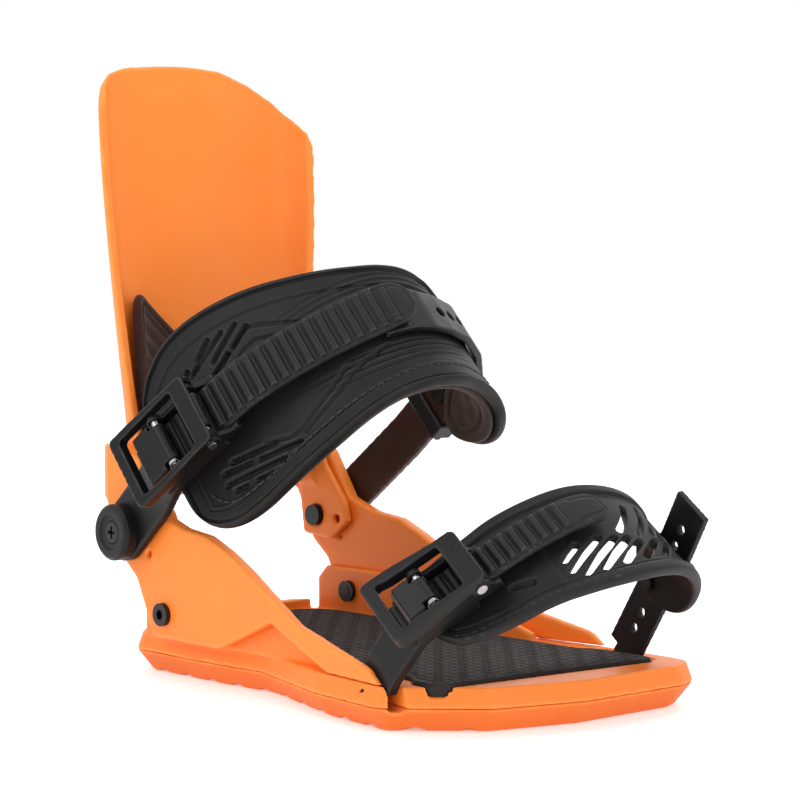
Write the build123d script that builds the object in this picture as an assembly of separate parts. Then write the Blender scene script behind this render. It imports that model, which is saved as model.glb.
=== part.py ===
from build123d import *
import os
from math import sin, cos, tan, radians, degrees, atan2, hypot, pi

# Strap-in snowboard binding, right foot. Millimetres.
# +X points to the toe, +Y to the medial side, +Z up.
# The origin is the centre of the mounting disc on the board's surface.

# Fits
GAP = 0.3                # between pieces that move apart
RUN = 0.05               # radial clearance of a running fit

# Base tray and sole
BASE_REAR = 118.0        # heel edge behind the origin
BASE_FRONT = 100.0       # toe edge ahead of the origin, on the centre line
HEEL_HALF = 53.0
WAIST_HALF = 49.5
TOE_HALF = 66.5
BASE_CORNER = 10.0       # corner radius of the base, more than the sole's taper takes off
TOE_SKEW = 10.0          # the medial side of the toe lies further forward
SOLE_H = 9.4
TRAY_TOP = 17.0
TRAY_TAPER = 19.0
SOLE_TAPER = 38.0
LUG_PITCH = 16.0
LUG_DEPTH = 1.2
FOOTBED_T = 5.0
FOOTBED_PROUD = 1.4      # how far the footbed stands above the tray

# Mounting disc
DISC_R = 37.0            # body of the disc
DISC_FLANGE_R = 41.5
DISC_FLANGE_T = 5.0
HUB_WALL = 3.0           # wall of the tray outside the disc's teeth
HUB_LOW = 2.0            # underside of the tray's hub
DISC_TEETH = 72          # a step of 5 degrees
DISC_TOOTH_DEPTH = 1.6
BOLT_SPACING = 40.0
BOLT_R = 3.25
BOLT_HEAD_R = 6.6
BOLT_HEAD_DEPTH = 4.0

# Side walls, from the inside to the outside
RAIL_IN = 47.4           # inner face of the tray's side rails
WALL_T = 3.5             # rail
EAR_T = 4.0              # highback ear
FRAME_T = 6.0            # heelcup side frame
FRAME_TOE_T = 2.8        # side frame at its toe end
TOE_ARM_CLEAR = 0.85     # from the near toe arm to the flared side frame
FRAME_SWEEP = 5.67       # how far the side frame widens along the toe arm
ARM_T = 4.5              # strap arms
DISC_CAP_T = 6.0
DISC_CAP_R = 12.0
RAIL_TOP = 38.0

# Strap and highback pivot
PIVOT_X = -105.0
PIVOT_Z = 61.0
SLEEVE_R = 4.6
SCREW_R = 2.5
SCREW_HEAD_R = 4.6
SCREW_HEAD_T = 2.4
PIVOT_NUT_R = 4.75
PIVOT_NUT_T = 2.0

# Heelcup
LOW_BOLT_X = -82.4
LOW_BOLT_Z = 27.6
LOW_BOLT_R = 2.5
LOW_BOLT_HEAD_R = 4.8
HOOP_REAR = 142.0        # rear of the hoop behind the origin
HOOP_BOTTOM = 73.0
HOOP_TOP = 97.0
HOOP_T = 5.0

# Highback
BACK_TOP = 266.0
BACK_T = 4.5
BACK_REAR = 134.0        # rear face on the centre line
BACK_HALF = 61.0         # widest half width
BACK_PAD_T = 4.0
LEAN_BOSS_T = 3.4
LEAN_BOSS_HALF = 13.0
LEAN_TRAVEL = 14.0       # travel of the forward-lean block
LEAN_SCREW_R = 2.5
LEAN_BLOCK_H = 16.0

# Ankle strap
ANKLE_RISE = 41.0        # slope of the strap's plane above +X
ANKLE_PAD_HALF = 36.0    # half the pad's width
ANKLE_PAD_T = 8.0
LINER_T = 2.6
ANKLE_ARM_HALF = 12.5
ANKLE_LADDER_HALF = 11.0
CONNECTOR_HALF = 9.8
CONNECTOR_SHIFT = 1.5   # how far the connector sits below the ladder's middle
CONNECTOR_T = 3.0
CONNECTOR_HOLE_R = 2.4
CONNECTOR_HOLES = 5
CONNECTOR_HOLE_PITCH = 8.0

# Toe strap
TOE_AXLE_X = 58.6
TOE_AXLE_Z = 13.4
TOE_AXLE_R = 2.0
TOE_ARM_AT = 58.6        # distance of each toe arm from the centre line
TOE_RISE = 56.0
TOE_PAD_HALF = 21.0
TOE_PAD_T = 4.0
TOE_ARM_HALF = 9.0
TOE_EYE_R = 4.4
TOE_LADDER_HALF = 7.75
TOE_ADJUSTER_T = 2.6

# Ladders and buckles
LADDER_T = 2.5
TOOTH_PITCH = 5.5
TOE_TOOTH_PITCH = 4.5
TOOTH_H = 1.5
BUCKLE_FLOOR_T = 1.8
CHEEK_T = 2.0
PIN_R = 1.5
LEVER_ARM_T = 2.6
LEVER_T = 4.0

# Places worked out from the sizes above
RAIL_OUT = RAIL_IN + WALL_T
FRAME_IN = RAIL_OUT + GAP
FRAME_OUT = FRAME_IN + FRAME_T
ARM_IN = FRAME_OUT + 0.55
ARM_OUT = ARM_IN + ARM_T
CAP_IN = ARM_OUT + GAP
CAP_OUT = CAP_IN + DISC_CAP_T
EAR_OUT = RAIL_OUT
EAR_IN = EAR_OUT - EAR_T
FOOTBED_TOP = TRAY_TOP + FOOTBED_PROUD
POCKET_Z = FOOTBED_TOP - FOOTBED_T
DISC_TOP = POCKET_Z - GAP
DISC_SEAT = DISC_TOP - DISC_FLANGE_T
BLOCK_Z = HOOP_TOP + GAP


# ---------------------------------------------------------------- helpers

def box(x0, x1, y0, y1, z0, z1):
    """A box between two corners."""
    size = (x1 - x0, y1 - y0, z1 - z0)
    centre = ((x0 + x1) / 2, (y0 + y1) / 2, (z0 + z1) / 2)
    return Pos(*centre) * Box(*size)


def rod_y(x, z, r, y0, y1):
    """A cylinder along Y."""
    return Pos(x, (y0 + y1) / 2, z) * Rot(90, 0, 0) * Cylinder(r, abs(y1 - y0))


def rod_x(y, z, r, x0, x1):
    """A cylinder along X."""
    return Pos((x0 + x1) / 2, y, z) * Rot(0, 90, 0) * Cylinder(r, abs(x1 - x0))


def rod_z(x, y, r, z0, z1):
    """A cylinder along Z."""
    return Pos(x, y, (z0 + z1) / 2) * Cylinder(r, z1 - z0)


def ccw(points):
    """The same outline, listed counter-clockwise, so that its face looks up."""
    area = 0.0
    for (ax, ay), (bx, by) in zip(points, points[1:] + points[:1]):
        area += ax * by - bx * ay
    return points if area > 0 else points[::-1]


def plate_xz(points, y0, y1, corner=0.0):
    """A plate whose outline lies in XZ, between two values of y."""
    face = Plane.XZ * make_face(Polyline(*ccw(points), close=True))
    if corner:
        face = fillet(face.vertices(), corner)
    low, high = min(y0, y1), max(y0, y1)
    return Pos(0, high, 0) * extrude(face, amount=high - low)


def plate_yz(points, x0, x1, corner=0.0):
    """A plate whose outline lies in YZ, between two values of x."""
    face = Plane.YZ * make_face(Polyline(*ccw(points), close=True))
    if corner:
        face = fillet(face.vertices(), corner)
    return Pos(x0, 0, 0) * extrude(face, amount=x1 - x0)


def plate_xy(points, z0, z1, corner=0.0, taper=0.0):
    """A plate whose outline lies in XY, between two heights."""
    face = make_face(Polyline(*ccw(points), close=True))
    if corner:
        face = fillet(face.vertices(), corner)
    return Pos(0, 0, z0) * extrude(face, amount=z1 - z0, taper=taper)


def shifted(points, distance):
    """The corners of an open path moved sideways; left of the direction of travel is positive."""
    moved = []
    last = len(points) - 1
    for i, (x, y) in enumerate(points):
        ax, ay = points[max(i - 1, 0)]
        bx, by = points[min(i + 1, last)]
        before = unit(x - ax, y - ay) if i > 0 else unit(bx - x, by - y)
        after = unit(bx - x, by - y) if i < last else before
        nx = -(before[1] + after[1])
        ny = before[0] + after[0]
        size = (nx * nx + ny * ny) / 2
        moved.append((x + distance * nx / size, y + distance * ny / size))
    return moved


def unit(x, y):
    """A direction in the plane, of length 1."""
    length = hypot(x, y)
    return x / length, y / length


def turns(points):
    """+1 for each corner of a path that turns left, -1 for each that turns right."""
    signs = []
    for a, b, c in zip(points, points[1:], points[2:]):
        cross = (b[0] - a[0]) * (c[1] - b[1]) - (b[1] - a[1]) * (c[0] - b[0])
        signs.append(1 if cross > 0 else -1)
    return signs


def path_line(points, radius, distance=0.0):
    """A path with rounded corners, moved sideways by a distance."""
    corners = shifted(points, distance)
    if len(points) == 2:
        return Line(*corners)
    radii = [radius - distance * sign for sign in turns(points)]
    return FilletPolyline(*corners, radius=radii)


def band_face(points, radius, inner, outer):
    """The face between two copies of a path, moved left by outer and right by inner."""
    left = path_line(points, radius, outer)
    right = path_line(points, radius, -inner)
    ends = [Line(left @ 0, right @ 0), Line(left @ 1, right @ 1)]
    return make_face([*left.edges(), *right.edges(), *ends])


def strap(frame, points, radius, inner, outer, low, high):
    """A flat strap that follows a path in a strap's plane, from one side to the other."""
    face = band_face(points, radius, inner, outer)
    return frame.location * Pos(0, 0, low) * extrude(face, amount=high - low)


# ---------------------------------------------------------------- frames of the straps

ANKLE = Plane(
    origin=(PIVOT_X, 0, PIVOT_Z),
    x_dir=(0, 1, 0),
    z_dir=(sin(radians(ANKLE_RISE)), 0, -cos(radians(ANKLE_RISE))),
)
TOE_BASELINE = (sin(radians(TOE_SKEW)), cos(radians(TOE_SKEW)), 0)
TOE_FORWARD = (cos(radians(TOE_SKEW)), -sin(radians(TOE_SKEW)), 0)
TOE = Plane(
    origin=(TOE_AXLE_X, 0, TOE_AXLE_Z),
    x_dir=TOE_BASELINE,
    z_dir=(
        TOE_FORWARD[0] * sin(radians(TOE_RISE)),
        TOE_FORWARD[1] * sin(radians(TOE_RISE)),
        -cos(radians(TOE_RISE)),
    ),
)
# The toe axles stay level, whatever the strap's slope.
TOE_LEVEL = Plane(origin=(TOE_AXLE_X, 0, TOE_AXLE_Z), x_dir=TOE_BASELINE, z_dir=TOE_FORWARD)


class Buckle:
    """Sizes and place of a ratchet buckle on a strap.

    Its own frame: x along the ladder, y across it, z outward, with z = 0 under the floor.
    """

    def __init__(self, frame, place, turn, ladder_half, length, rear_half):
        self.ladder_half = ladder_half
        self.length = length
        self.rear_half = rear_half
        self.cheek_in = ladder_half + GAP
        self.cheek_out = self.cheek_in + CHEEK_T
        self.arm_in = self.cheek_out + GAP
        self.arm_out = self.arm_in + LEVER_ARM_T
        self.ladder_z = BUCKLE_FLOOR_T + GAP
        self.hub_r = 3.6
        self.pin_z = self.ladder_z + LADDER_T + TOOTH_H + GAP + self.hub_r
        self.pin_x = length * 0.24
        self.tab_x = -length * 0.16
        angle = radians(turn)
        local = Plane(
            origin=(place[0], place[1], 0),
            x_dir=(sin(angle), cos(angle), 0),
            z_dir=(-cos(angle), sin(angle), 0),
        )
        self.tangent = (sin(angle), cos(angle))
        self.normal = (-cos(angle), sin(angle))
        self.place = place
        self.location = frame.location * local.location

    def point(self, along, out):
        """A point in the strap's plane, along the ladder and out of the floor."""
        x = self.place[0] + self.tangent[0] * along + self.normal[0] * out
        y = self.place[1] + self.tangent[1] * along + self.normal[1] * out
        return x, y


ANKLE_BUCKLE = Buckle(ANKLE, (-(ARM_IN + ARM_T * 0.83), 66.0), 13.0, ANKLE_LADDER_HALF, 50.0, 15.0)
TOE_BUCKLE = Buckle(TOE, (-43.0, 45.0), 47.0, TOE_LADDER_HALF, 42.0, 13.0)


# ---------------------------------------------------------------- base

def tray_outline():
    """Widest outline of the base, seen from above, near side first."""
    toe_shift = TOE_HALF * tan(radians(TOE_SKEW))
    return [
        (-BASE_REAR, -HEEL_HALF + 10),
        (-BASE_REAR + 10, -HEEL_HALF),
        (-60, -HEEL_HALF + 1),
        (-28, -WAIST_HALF),
        (20, -TOE_HALF + 3.5),
        (BASE_FRONT - 42, -TOE_HALF),
        (BASE_FRONT - toe_shift, -TOE_HALF + 30),
        (BASE_FRONT + 2, 0),
        (BASE_FRONT + toe_shift - 5, TOE_HALF - 16),
        (BASE_FRONT + 2, TOE_HALF - 1),
        (BASE_FRONT - 42, TOE_HALF),
        (20, TOE_HALF - 3.5),
        (-28, WAIST_HALF),
        (-60, HEEL_HALF - 1),
        (-BASE_REAR + 10, HEEL_HALF),
        (-BASE_REAR, HEEL_HALF - 10),
    ]


def footbed_outline(inset=0.0):
    """Outline of the footbed, seen from above."""
    half = RAIL_IN - 0.8 - inset
    wide = TOE_ARM_AT - 7 - inset
    skew = wide * tan(radians(TOE_SKEW))
    front = BASE_FRONT - 17 - inset
    rear = -BASE_REAR + 14 + inset
    return [
        (rear, -half + 12),
        (rear + 12, -half),
        (57, -half),
        (62, -wide),
        (front - skew, -wide),
        (front + skew, wide),
        (62, wide),
        (57, half),
        (rear + 12, half),
        (rear, half - 12),
    ]


def disc_teeth(radius, depth, z0, z1, clearance=0.0):
    """A toothed plug: a disc with wedge teeth round its rim."""
    points = []
    step = 2 * pi / DISC_TEETH
    for i in range(DISC_TEETH):
        tip = i * step
        root = tip + step / 2
        outer = radius + clearance
        inner = radius - depth + clearance
        points.append((outer * cos(tip), outer * sin(tip)))
        points.append((inner * cos(root), inner * sin(root)))
    return plate_xy(points, z0, z1)


def toe_slots():
    """The pockets that the two toe arms stand in."""
    slots = []
    for side in (-1, 1):
        across = side * TOE_ARM_AT
        reach = ARM_T / 2 + GAP if side < 0 else TOE_ADJUSTER_T / 2 + GAP
        pocket = Pos(across, 8.5, 4.5) * Box(2 * reach, 28, 2 * TOE_ARM_HALF + 15)
        slots.append(TOE_LEVEL.location * pocket)
    return slots


def toe_axle_holes(radius, reach):
    """Rods along the toe axle line, one at each toe arm."""
    rods = []
    for side in (-1, 1):
        rod = Pos(side * TOE_ARM_AT, 0, 0) * Rot(0, 90, 0) * Cylinder(radius, 2 * reach)
        rods.append(TOE_LEVEL.location * rod)
    return rods


def side_rails():
    """Upright walls of the tray that carry the heelcup."""
    outline = [
        (-BASE_REAR + 14, TRAY_TOP - 1),
        (-BASE_REAR + 14, RAIL_TOP - 6),
        (-BASE_REAR + 20, RAIL_TOP),
        (-30, RAIL_TOP),
        (6, RAIL_TOP - 10),
        (30, TRAY_TOP + 4),
        (30, TRAY_TOP - 1),
    ]
    near = plate_xz(outline, -RAIL_OUT, -RAIL_IN)
    far = plate_xz(outline, RAIL_IN, RAIL_OUT)
    return near + far


def make_baseplate():
    tray = plate_xy(tray_outline(), SOLE_H, TRAY_TOP, BASE_CORNER, TRAY_TAPER)
    tray += side_rails()
    tray += rod_z(0, 0, DISC_FLANGE_R + HUB_WALL, HUB_LOW, SOLE_H + 1)
    heel_wall = plate_xy(
        [
            (-BASE_REAR + 6, -HEEL_HALF + 16),
            (-BASE_REAR + 12, -HEEL_HALF + 7),
            (-BASE_REAR + 12, HEEL_HALF - 7),
            (-BASE_REAR + 6, HEEL_HALF - 16),
        ],
        TRAY_TOP - 1,
        TRAY_TOP + 5,
    )
    tray += heel_wall
    tray -= plate_xy(footbed_outline(-GAP), POCKET_Z, RAIL_TOP + 10, 4)
    tray -= disc_teeth(DISC_FLANGE_R, DISC_TOOTH_DEPTH, DISC_SEAT, POCKET_Z + 1, 0.35)
    tray -= rod_z(0, 0, DISC_R + 0.6, 0, POCKET_Z)
    for slot in toe_slots():
        tray -= slot
    for hole in toe_axle_holes(TOE_AXLE_R + 0.02, 5.8):
        tray -= hole
    for side in (-1, 1):
        tray -= rod_y(LOW_BOLT_X, LOW_BOLT_Z, LOW_BOLT_R + RUN, side * (RAIL_IN - 1), side * (RAIL_OUT + 1))
    return tray


def make_base_sole():
    """The softer sole under the tray, with a lugged lower edge."""
    flipped = [(x, -y) for x, y in tray_outline()]
    sole = Rot(180, 0, 0) * plate_xy(flipped, -SOLE_H, 0, BASE_CORNER, SOLE_TAPER)
    sole -= rod_z(0, 0, DISC_FLANGE_R + HUB_WALL, -1, SOLE_H + 1)
    notches = int((BASE_REAR + BASE_FRONT - 12) / LUG_PITCH)
    for i in range(notches):
        x = -BASE_REAR + 12 + (i + 0.5) * LUG_PITCH
        half = LUG_PITCH * 0.22
        notch = [(x - half, -1), (x - half + 1, LUG_DEPTH), (x + half - 1, LUG_DEPTH), (x + half, -1)]
        for side in (-1, 1):
            sole -= plate_xz(notch, side * (WAIST_HALF - 14), side * (TOE_HALF + 5))
    for slot in toe_slots():
        sole -= slot
    return sole


def make_mounting_disc():
    disc = rod_z(0, 0, DISC_R, 0, DISC_TOP)
    disc += disc_teeth(DISC_FLANGE_R, DISC_TOOTH_DEPTH, DISC_SEAT + GAP, DISC_TOP)
    for sx in (-1, 1):
        for sy in (-1, 1):
            x, y = sx * BOLT_SPACING / 2, sy * BOLT_SPACING / 2
            disc -= rod_z(x, y, BOLT_R, -1, DISC_TOP + 1)
            disc -= rod_z(x, y, BOLT_HEAD_R, DISC_TOP - BOLT_HEAD_DEPTH, DISC_TOP + 1)
    return disc


def make_footbed():
    bed = plate_xy(footbed_outline(), POCKET_Z, FOOTBED_TOP, 4)
    for slot in toe_slots():
        bed -= slot
    return bed


def make_toe_axles():
    """Steel pins that the two toe arms turn on."""
    return Compound(children=toe_axle_holes(TOE_AXLE_R, 5.4))


# ---------------------------------------------------------------- heelcup and pivots

def frame_outline():
    """Side frame of the heelcup, seen from the side: tray edge, toe end, top edge, hoop root."""
    low = TRAY_TOP + GAP
    return [
        (-90, low),
        (-46, low),
        (-12, low + 14.5),
        (24, low),
        (57, low),
        (50, low + 5.4),
        (24, low + 11),
        (5, low + 15.5),
        (-12, low + 24.5),
        (-39.5, PIVOT_Z - 4.5),
        (-54, PIVOT_Z + 1.5),
        (-70, PIVOT_Z + 3.5),
        (-86, PIVOT_Z + 9),
        (-100, HOOP_TOP - 6),
        (-112, HOOP_TOP),
        (-124, HOOP_TOP),
        (-124, HOOP_BOTTOM),
        (PIVOT_X - 7, PIVOT_Z - 12),
        (PIVOT_X + 3, PIVOT_Z - 20),
    ]


def side_frame(side):
    """One side frame: upright along the heel, then flared and thinner to pass outside the toe arm."""
    toe_in = TOE_ARM_AT + ARM_T / 2 + TOE_ARM_CLEAR
    bend_in = toe_in - FRAME_SWEEP
    bend_out = bend_in + (FRAME_T + FRAME_TOE_T) / 2
    plan = [
        (-124, side * FRAME_OUT),
        (-30, side * FRAME_OUT),
        (20, side * bend_out),
        (58, side * (toe_in + FRAME_TOE_T)),
        (58, side * toe_in),
        (20, side * bend_in),
        (-30, side * FRAME_IN),
        (-124, side * FRAME_IN),
    ]
    wall = plate_xy(plan, TRAY_TOP, HOOP_TOP + 5)
    return wall & plate_xz(frame_outline(), side * (FRAME_IN - 5), side * (FRAME_OUT + 20))


def make_heelcup():
    near = side_frame(-1)
    far = side_frame(1)
    mid = (FRAME_IN + FRAME_OUT) / 2
    rear = -HOOP_REAR + HOOP_T / 2
    path = [(-122, -mid), (-130, -mid + 3), (rear, -30), (rear, 30), (-130, mid - 3), (-122, mid)]
    face = band_face(path, 9, HOOP_T / 2, HOOP_T / 2)
    hoop = Pos(0, 0, HOOP_BOTTOM) * extrude(face, amount=HOOP_TOP - HOOP_BOTTOM)
    cup = near + far + hoop
    for side in (-1, 1):
        inside, outside = side * (FRAME_IN - 1), side * (FRAME_OUT + 1)
        cup -= rod_y(PIVOT_X, PIVOT_Z, SLEEVE_R + RUN, inside, outside)
        cup -= rod_y(LOW_BOLT_X, LOW_BOLT_Z, LOW_BOLT_R + RUN, inside, outside)
        cup -= rod_y(PIVOT_X + 12, PIVOT_Z - 9, 1.6, inside, outside)
    return cup


def make_low_bolts():
    """The two bolts that hold the heelcup to the tray's rails."""
    bolts = []
    for side in (-1, 1):
        head = rod_y(LOW_BOLT_X, LOW_BOLT_Z, LOW_BOLT_HEAD_R, side * FRAME_OUT, side * (FRAME_OUT + 2.2))
        shank = rod_y(LOW_BOLT_X, LOW_BOLT_Z, LOW_BOLT_R, side * (RAIL_IN - 2.4), side * FRAME_OUT)
        hexagon = extrude(RegularPolygon(2.3, 6), amount=2)
        socket = Pos(LOW_BOLT_X, side * (FRAME_OUT + 2.4), LOW_BOLT_Z) * Rot(side * 90, 0, 0) * hexagon
        bolts.append(head + shank - socket)
    return Compound(children=bolts)


def make_low_nuts():
    nuts = []
    for side in (-1, 1):
        y0, y1 = side * (RAIL_IN - 0.05), side * (RAIL_IN - 2.2)
        nut = rod_y(LOW_BOLT_X, LOW_BOLT_Z, LOW_BOLT_HEAD_R, y0, y1)
        nuts.append(nut - rod_y(LOW_BOLT_X, LOW_BOLT_Z, LOW_BOLT_R + RUN, y0 * 0.9, y0 * 1.1))
    return Compound(children=nuts)


def make_pivot_sleeves():
    sleeves = []
    for side in (-1, 1):
        tube = rod_y(PIVOT_X, PIVOT_Z, SLEEVE_R, side * EAR_IN, side * ARM_OUT)
        tube -= rod_y(PIVOT_X, PIVOT_Z, SCREW_R + RUN, side * (EAR_IN - 1), side * (ARM_OUT + 1))
        sleeves.append(tube)
    return Compound(children=sleeves)


def make_pivot_caps():
    """Round dished caps over the strap arms."""
    caps = []
    for side in (-1, 1):
        cap = rod_y(PIVOT_X, PIVOT_Z, DISC_CAP_R, side * CAP_IN, side * CAP_OUT)
        outer = cap.edges().filter_by(GeomType.CIRCLE).sort_by(Axis.Y)[-1 if side > 0 else 0]
        cap = chamfer(outer, 1.4)
        cap -= rod_y(PIVOT_X, PIVOT_Z, DISC_CAP_R - 4.4, side * (CAP_OUT - 1), side * (CAP_OUT + 1))
        head_floor = side * (CAP_OUT - 1 - SCREW_HEAD_T)
        cap -= rod_y(PIVOT_X, PIVOT_Z, SCREW_HEAD_R + GAP, head_floor, side * (CAP_OUT + 1))
        cap -= rod_y(PIVOT_X, PIVOT_Z, SCREW_R + RUN, side * (CAP_IN - 1), side * CAP_OUT)
        caps.append(cap)
    return Compound(children=caps)


def make_pivot_screws():
    screws = []
    for side in (-1, 1):
        head_in, head_out = CAP_OUT - 1 - SCREW_HEAD_T, CAP_OUT - 1
        screw = rod_y(PIVOT_X, PIVOT_Z, SCREW_HEAD_R, side * head_in, side * head_out)
        screw += rod_y(PIVOT_X, PIVOT_Z, SCREW_R, side * (EAR_IN - GAP - PIVOT_NUT_T), side * head_in)
        low, high = sorted((side * (head_out - 1.4), side * (head_out + 1)))
        screw -= box(PIVOT_X - 2.6, PIVOT_X + 2.6, low, high, PIVOT_Z - 0.6, PIVOT_Z + 0.6)
        screw -= box(PIVOT_X - 0.6, PIVOT_X + 0.6, low, high, PIVOT_Z - 2.6, PIVOT_Z + 2.6)
        screws.append(screw)
    return Compound(children=screws)


def make_pivot_nuts():
    nuts = []
    for side in (-1, 1):
        y1 = side * (EAR_IN - GAP)
        y0 = side * (EAR_IN - GAP - PIVOT_NUT_T)
        nut = rod_y(PIVOT_X, PIVOT_Z, PIVOT_NUT_R, y0, y1)
        nuts.append(nut - rod_y(PIVOT_X, PIVOT_Z, SCREW_R + RUN, y0 * 0.9, y1 * 1.1))
    return Compound(children=nuts)


# ---------------------------------------------------------------- highback

def back_section(z, half, edge, rear, inset, thickness):
    """A bow-shaped slice of the highback at one height."""
    def bow(push):
        wide = half - push
        return Spline(
            (edge, -wide),
            ((edge + 2 * rear) / 3, -wide * 0.86),
            (rear + push, -wide * 0.36),
            (rear + push, wide * 0.36),
            ((edge + 2 * rear) / 3, wide * 0.86),
            (edge, wide),
        )
    outer = bow(inset)
    inner = bow(inset + thickness)
    ends = [Line(outer @ 0, inner @ 0), Line(outer @ 1, inner @ 1)]
    return Pos(0, 0, z) * make_face([outer, inner, *ends])


def back_shell(inset, thickness):
    """A layer of the highback between two depths from its rear face."""
    rear = -BACK_REAR
    slices = [
        (PIVOT_Z + 5, EAR_OUT - 0.4, PIVOT_X + 6, rear),
        (PIVOT_Z + 43, EAR_OUT - 0.4, PIVOT_X - 7, rear),
        (165, BACK_HALF - 4, PIVOT_X - 12, rear),
        (BACK_TOP - 45, BACK_HALF, PIVOT_X - 15.5, rear - 1),
        (BACK_TOP + 2, BACK_HALF, PIVOT_X - 17, rear - 3),
    ]
    sections = [back_section(*s, inset, thickness) for s in slices]
    return loft(sections)


def back_outline():
    """Front view of the highback: ears, sides and the top, which falls to the medial side."""
    wide = BACK_HALF + 2
    side = PIVOT_Z + 23
    low = PIVOT_Z + 11
    return [
        (-wide, side),
        (-wide, BACK_TOP - 36),
        (-wide + 2.5, BACK_TOP - 23),
        (-wide + 8, BACK_TOP - 13),
        (-wide + 15, BACK_TOP - 6.5),
        (-wide + 25, BACK_TOP - 3),
        (-20, BACK_TOP - 1),
        (-4, BACK_TOP),
        (13, BACK_TOP - 0.5),
        (32, BACK_TOP - 5),
        (45, BACK_TOP - 11),
        (54, BACK_TOP - 20),
        (wide - 2, BACK_TOP - 32),
        (wide, BACK_TOP - 46),
        (wide, side),
        (38, low),
        (-38, low),
    ]


def lean_slot():
    """The T-shaped slot in the highback that the forward-lean nut slides in."""
    low = BLOCK_Z + LEAN_BLOCK_H / 2
    rear = -BACK_REAR
    narrow = box(rear - 6, rear + 6, -LEAN_SCREW_R - GAP, LEAN_SCREW_R + GAP, low - 4, low + LEAN_TRAVEL + 4)
    wide = box(rear + 0.6, rear + 12, -5.4, 5.4, low - 6, low + LEAN_TRAVEL + 6)
    return narrow + wide


def make_highback():
    shell = back_shell(0, BACK_T) & plate_yz(back_outline(), -160, -80, 8)
    boss = box(
        -BACK_REAR - LEAN_BOSS_T,
        -BACK_REAR + 2,
        -LEAN_BOSS_HALF,
        LEAN_BOSS_HALF,
        HOOP_TOP + GAP,
        BLOCK_Z + LEAN_BLOCK_H + LEAN_TRAVEL + 6,
    )
    ear_outline = [
        (PIVOT_X - 9, PIVOT_Z - 9),
        (PIVOT_X + 10, PIVOT_Z - 11),
        (PIVOT_X + 22, PIVOT_Z - 2),
        (PIVOT_X + 20, PIVOT_Z + 7),
        (PIVOT_X + 6, PIVOT_Z + 24),
        (PIVOT_X - 1, PIVOT_Z + 40),
        (PIVOT_X - 16, PIVOT_Z + 40),
    ]
    back = shell + boss
    for side in (-1, 1):
        back += plate_xz(ear_outline, side * EAR_IN, side * EAR_OUT)
    for side in (-1, 1):
        inside, outside = side * (EAR_IN - 1), side * (EAR_OUT + 1)
        back -= rod_y(PIVOT_X, PIVOT_Z, SLEEVE_R + RUN, inside, outside)
        back -= rod_y(PIVOT_X + 14, PIVOT_Z - 1, 2.2, inside, outside)
    return back - lean_slot()


def make_highback_pad():
    """Foam pad on the front of the highback, with a horn up each side of a V."""
    layer = back_shell(BACK_T + 0.1, BACK_PAD_T)
    outline = [
        (-43, PIVOT_Z + 23),
        (-43, 128),
        (-41, 160),
        (-38, 163),
        (-27, 146),
        (-8, 132),
        (8, 132),
        (27, 146),
        (38, 163),
        (41, 160),
        (43, 128),
        (43, PIVOT_Z + 23),
        (30, PIVOT_Z + 15),
        (-30, PIVOT_Z + 15),
    ]
    return layer & plate_yz(outline, -150, -90)


def make_lean_block():
    """The block that rests on the hoop and sets the forward lean."""
    front = -BACK_REAR - LEAN_BOSS_T - GAP
    rear = front - 9
    top = BLOCK_Z + LEAN_BLOCK_H
    block = box(rear, front, -11, 11, BLOCK_Z, top)
    edges = block.edges().filter_by(Axis.Z).sort_by(Axis.X)[:2]
    block = fillet(edges, 3)
    middle = BLOCK_Z + LEAN_BLOCK_H / 2
    block -= rod_x(0, middle, LEAN_SCREW_R + RUN, rear - 1, front + 1)
    block -= rod_x(0, middle, 4.6, rear - 1, rear + 3.2)
    return block


def make_lean_screw():
    front = -BACK_REAR - LEAN_BOSS_T - GAP
    rear = front - 9
    middle = BLOCK_Z + LEAN_BLOCK_H / 2
    screw = rod_x(0, middle, 4.4, rear + 0.6, rear + 3.2)
    screw += rod_x(0, middle, LEAN_SCREW_R, rear + 3.2, -BACK_REAR + 4)
    screw -= box(rear - 1, rear + 1.8, -2.6, 2.6, middle - 0.6, middle + 0.6)
    screw -= box(rear - 1, rear + 1.8, -0.6, 0.6, middle - 2.6, middle + 2.6)
    return screw


def make_lean_nut():
    middle = BLOCK_Z + LEAN_BLOCK_H / 2
    nut = box(-BACK_REAR + 0.9, -BACK_REAR + 4, -5.1, 5.1, middle - 5, middle + 5)
    return nut - rod_x(0, middle, LEAN_SCREW_R + RUN, -BACK_REAR, -BACK_REAR + 5)


# ---------------------------------------------------------------- buckles

def across_rod(x, z, r, half):
    """A rod across a buckle, in the buckle's own frame."""
    return Pos(x, 0, z) * Rot(90, 0, 0) * Cylinder(r, 2 * half)


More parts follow.
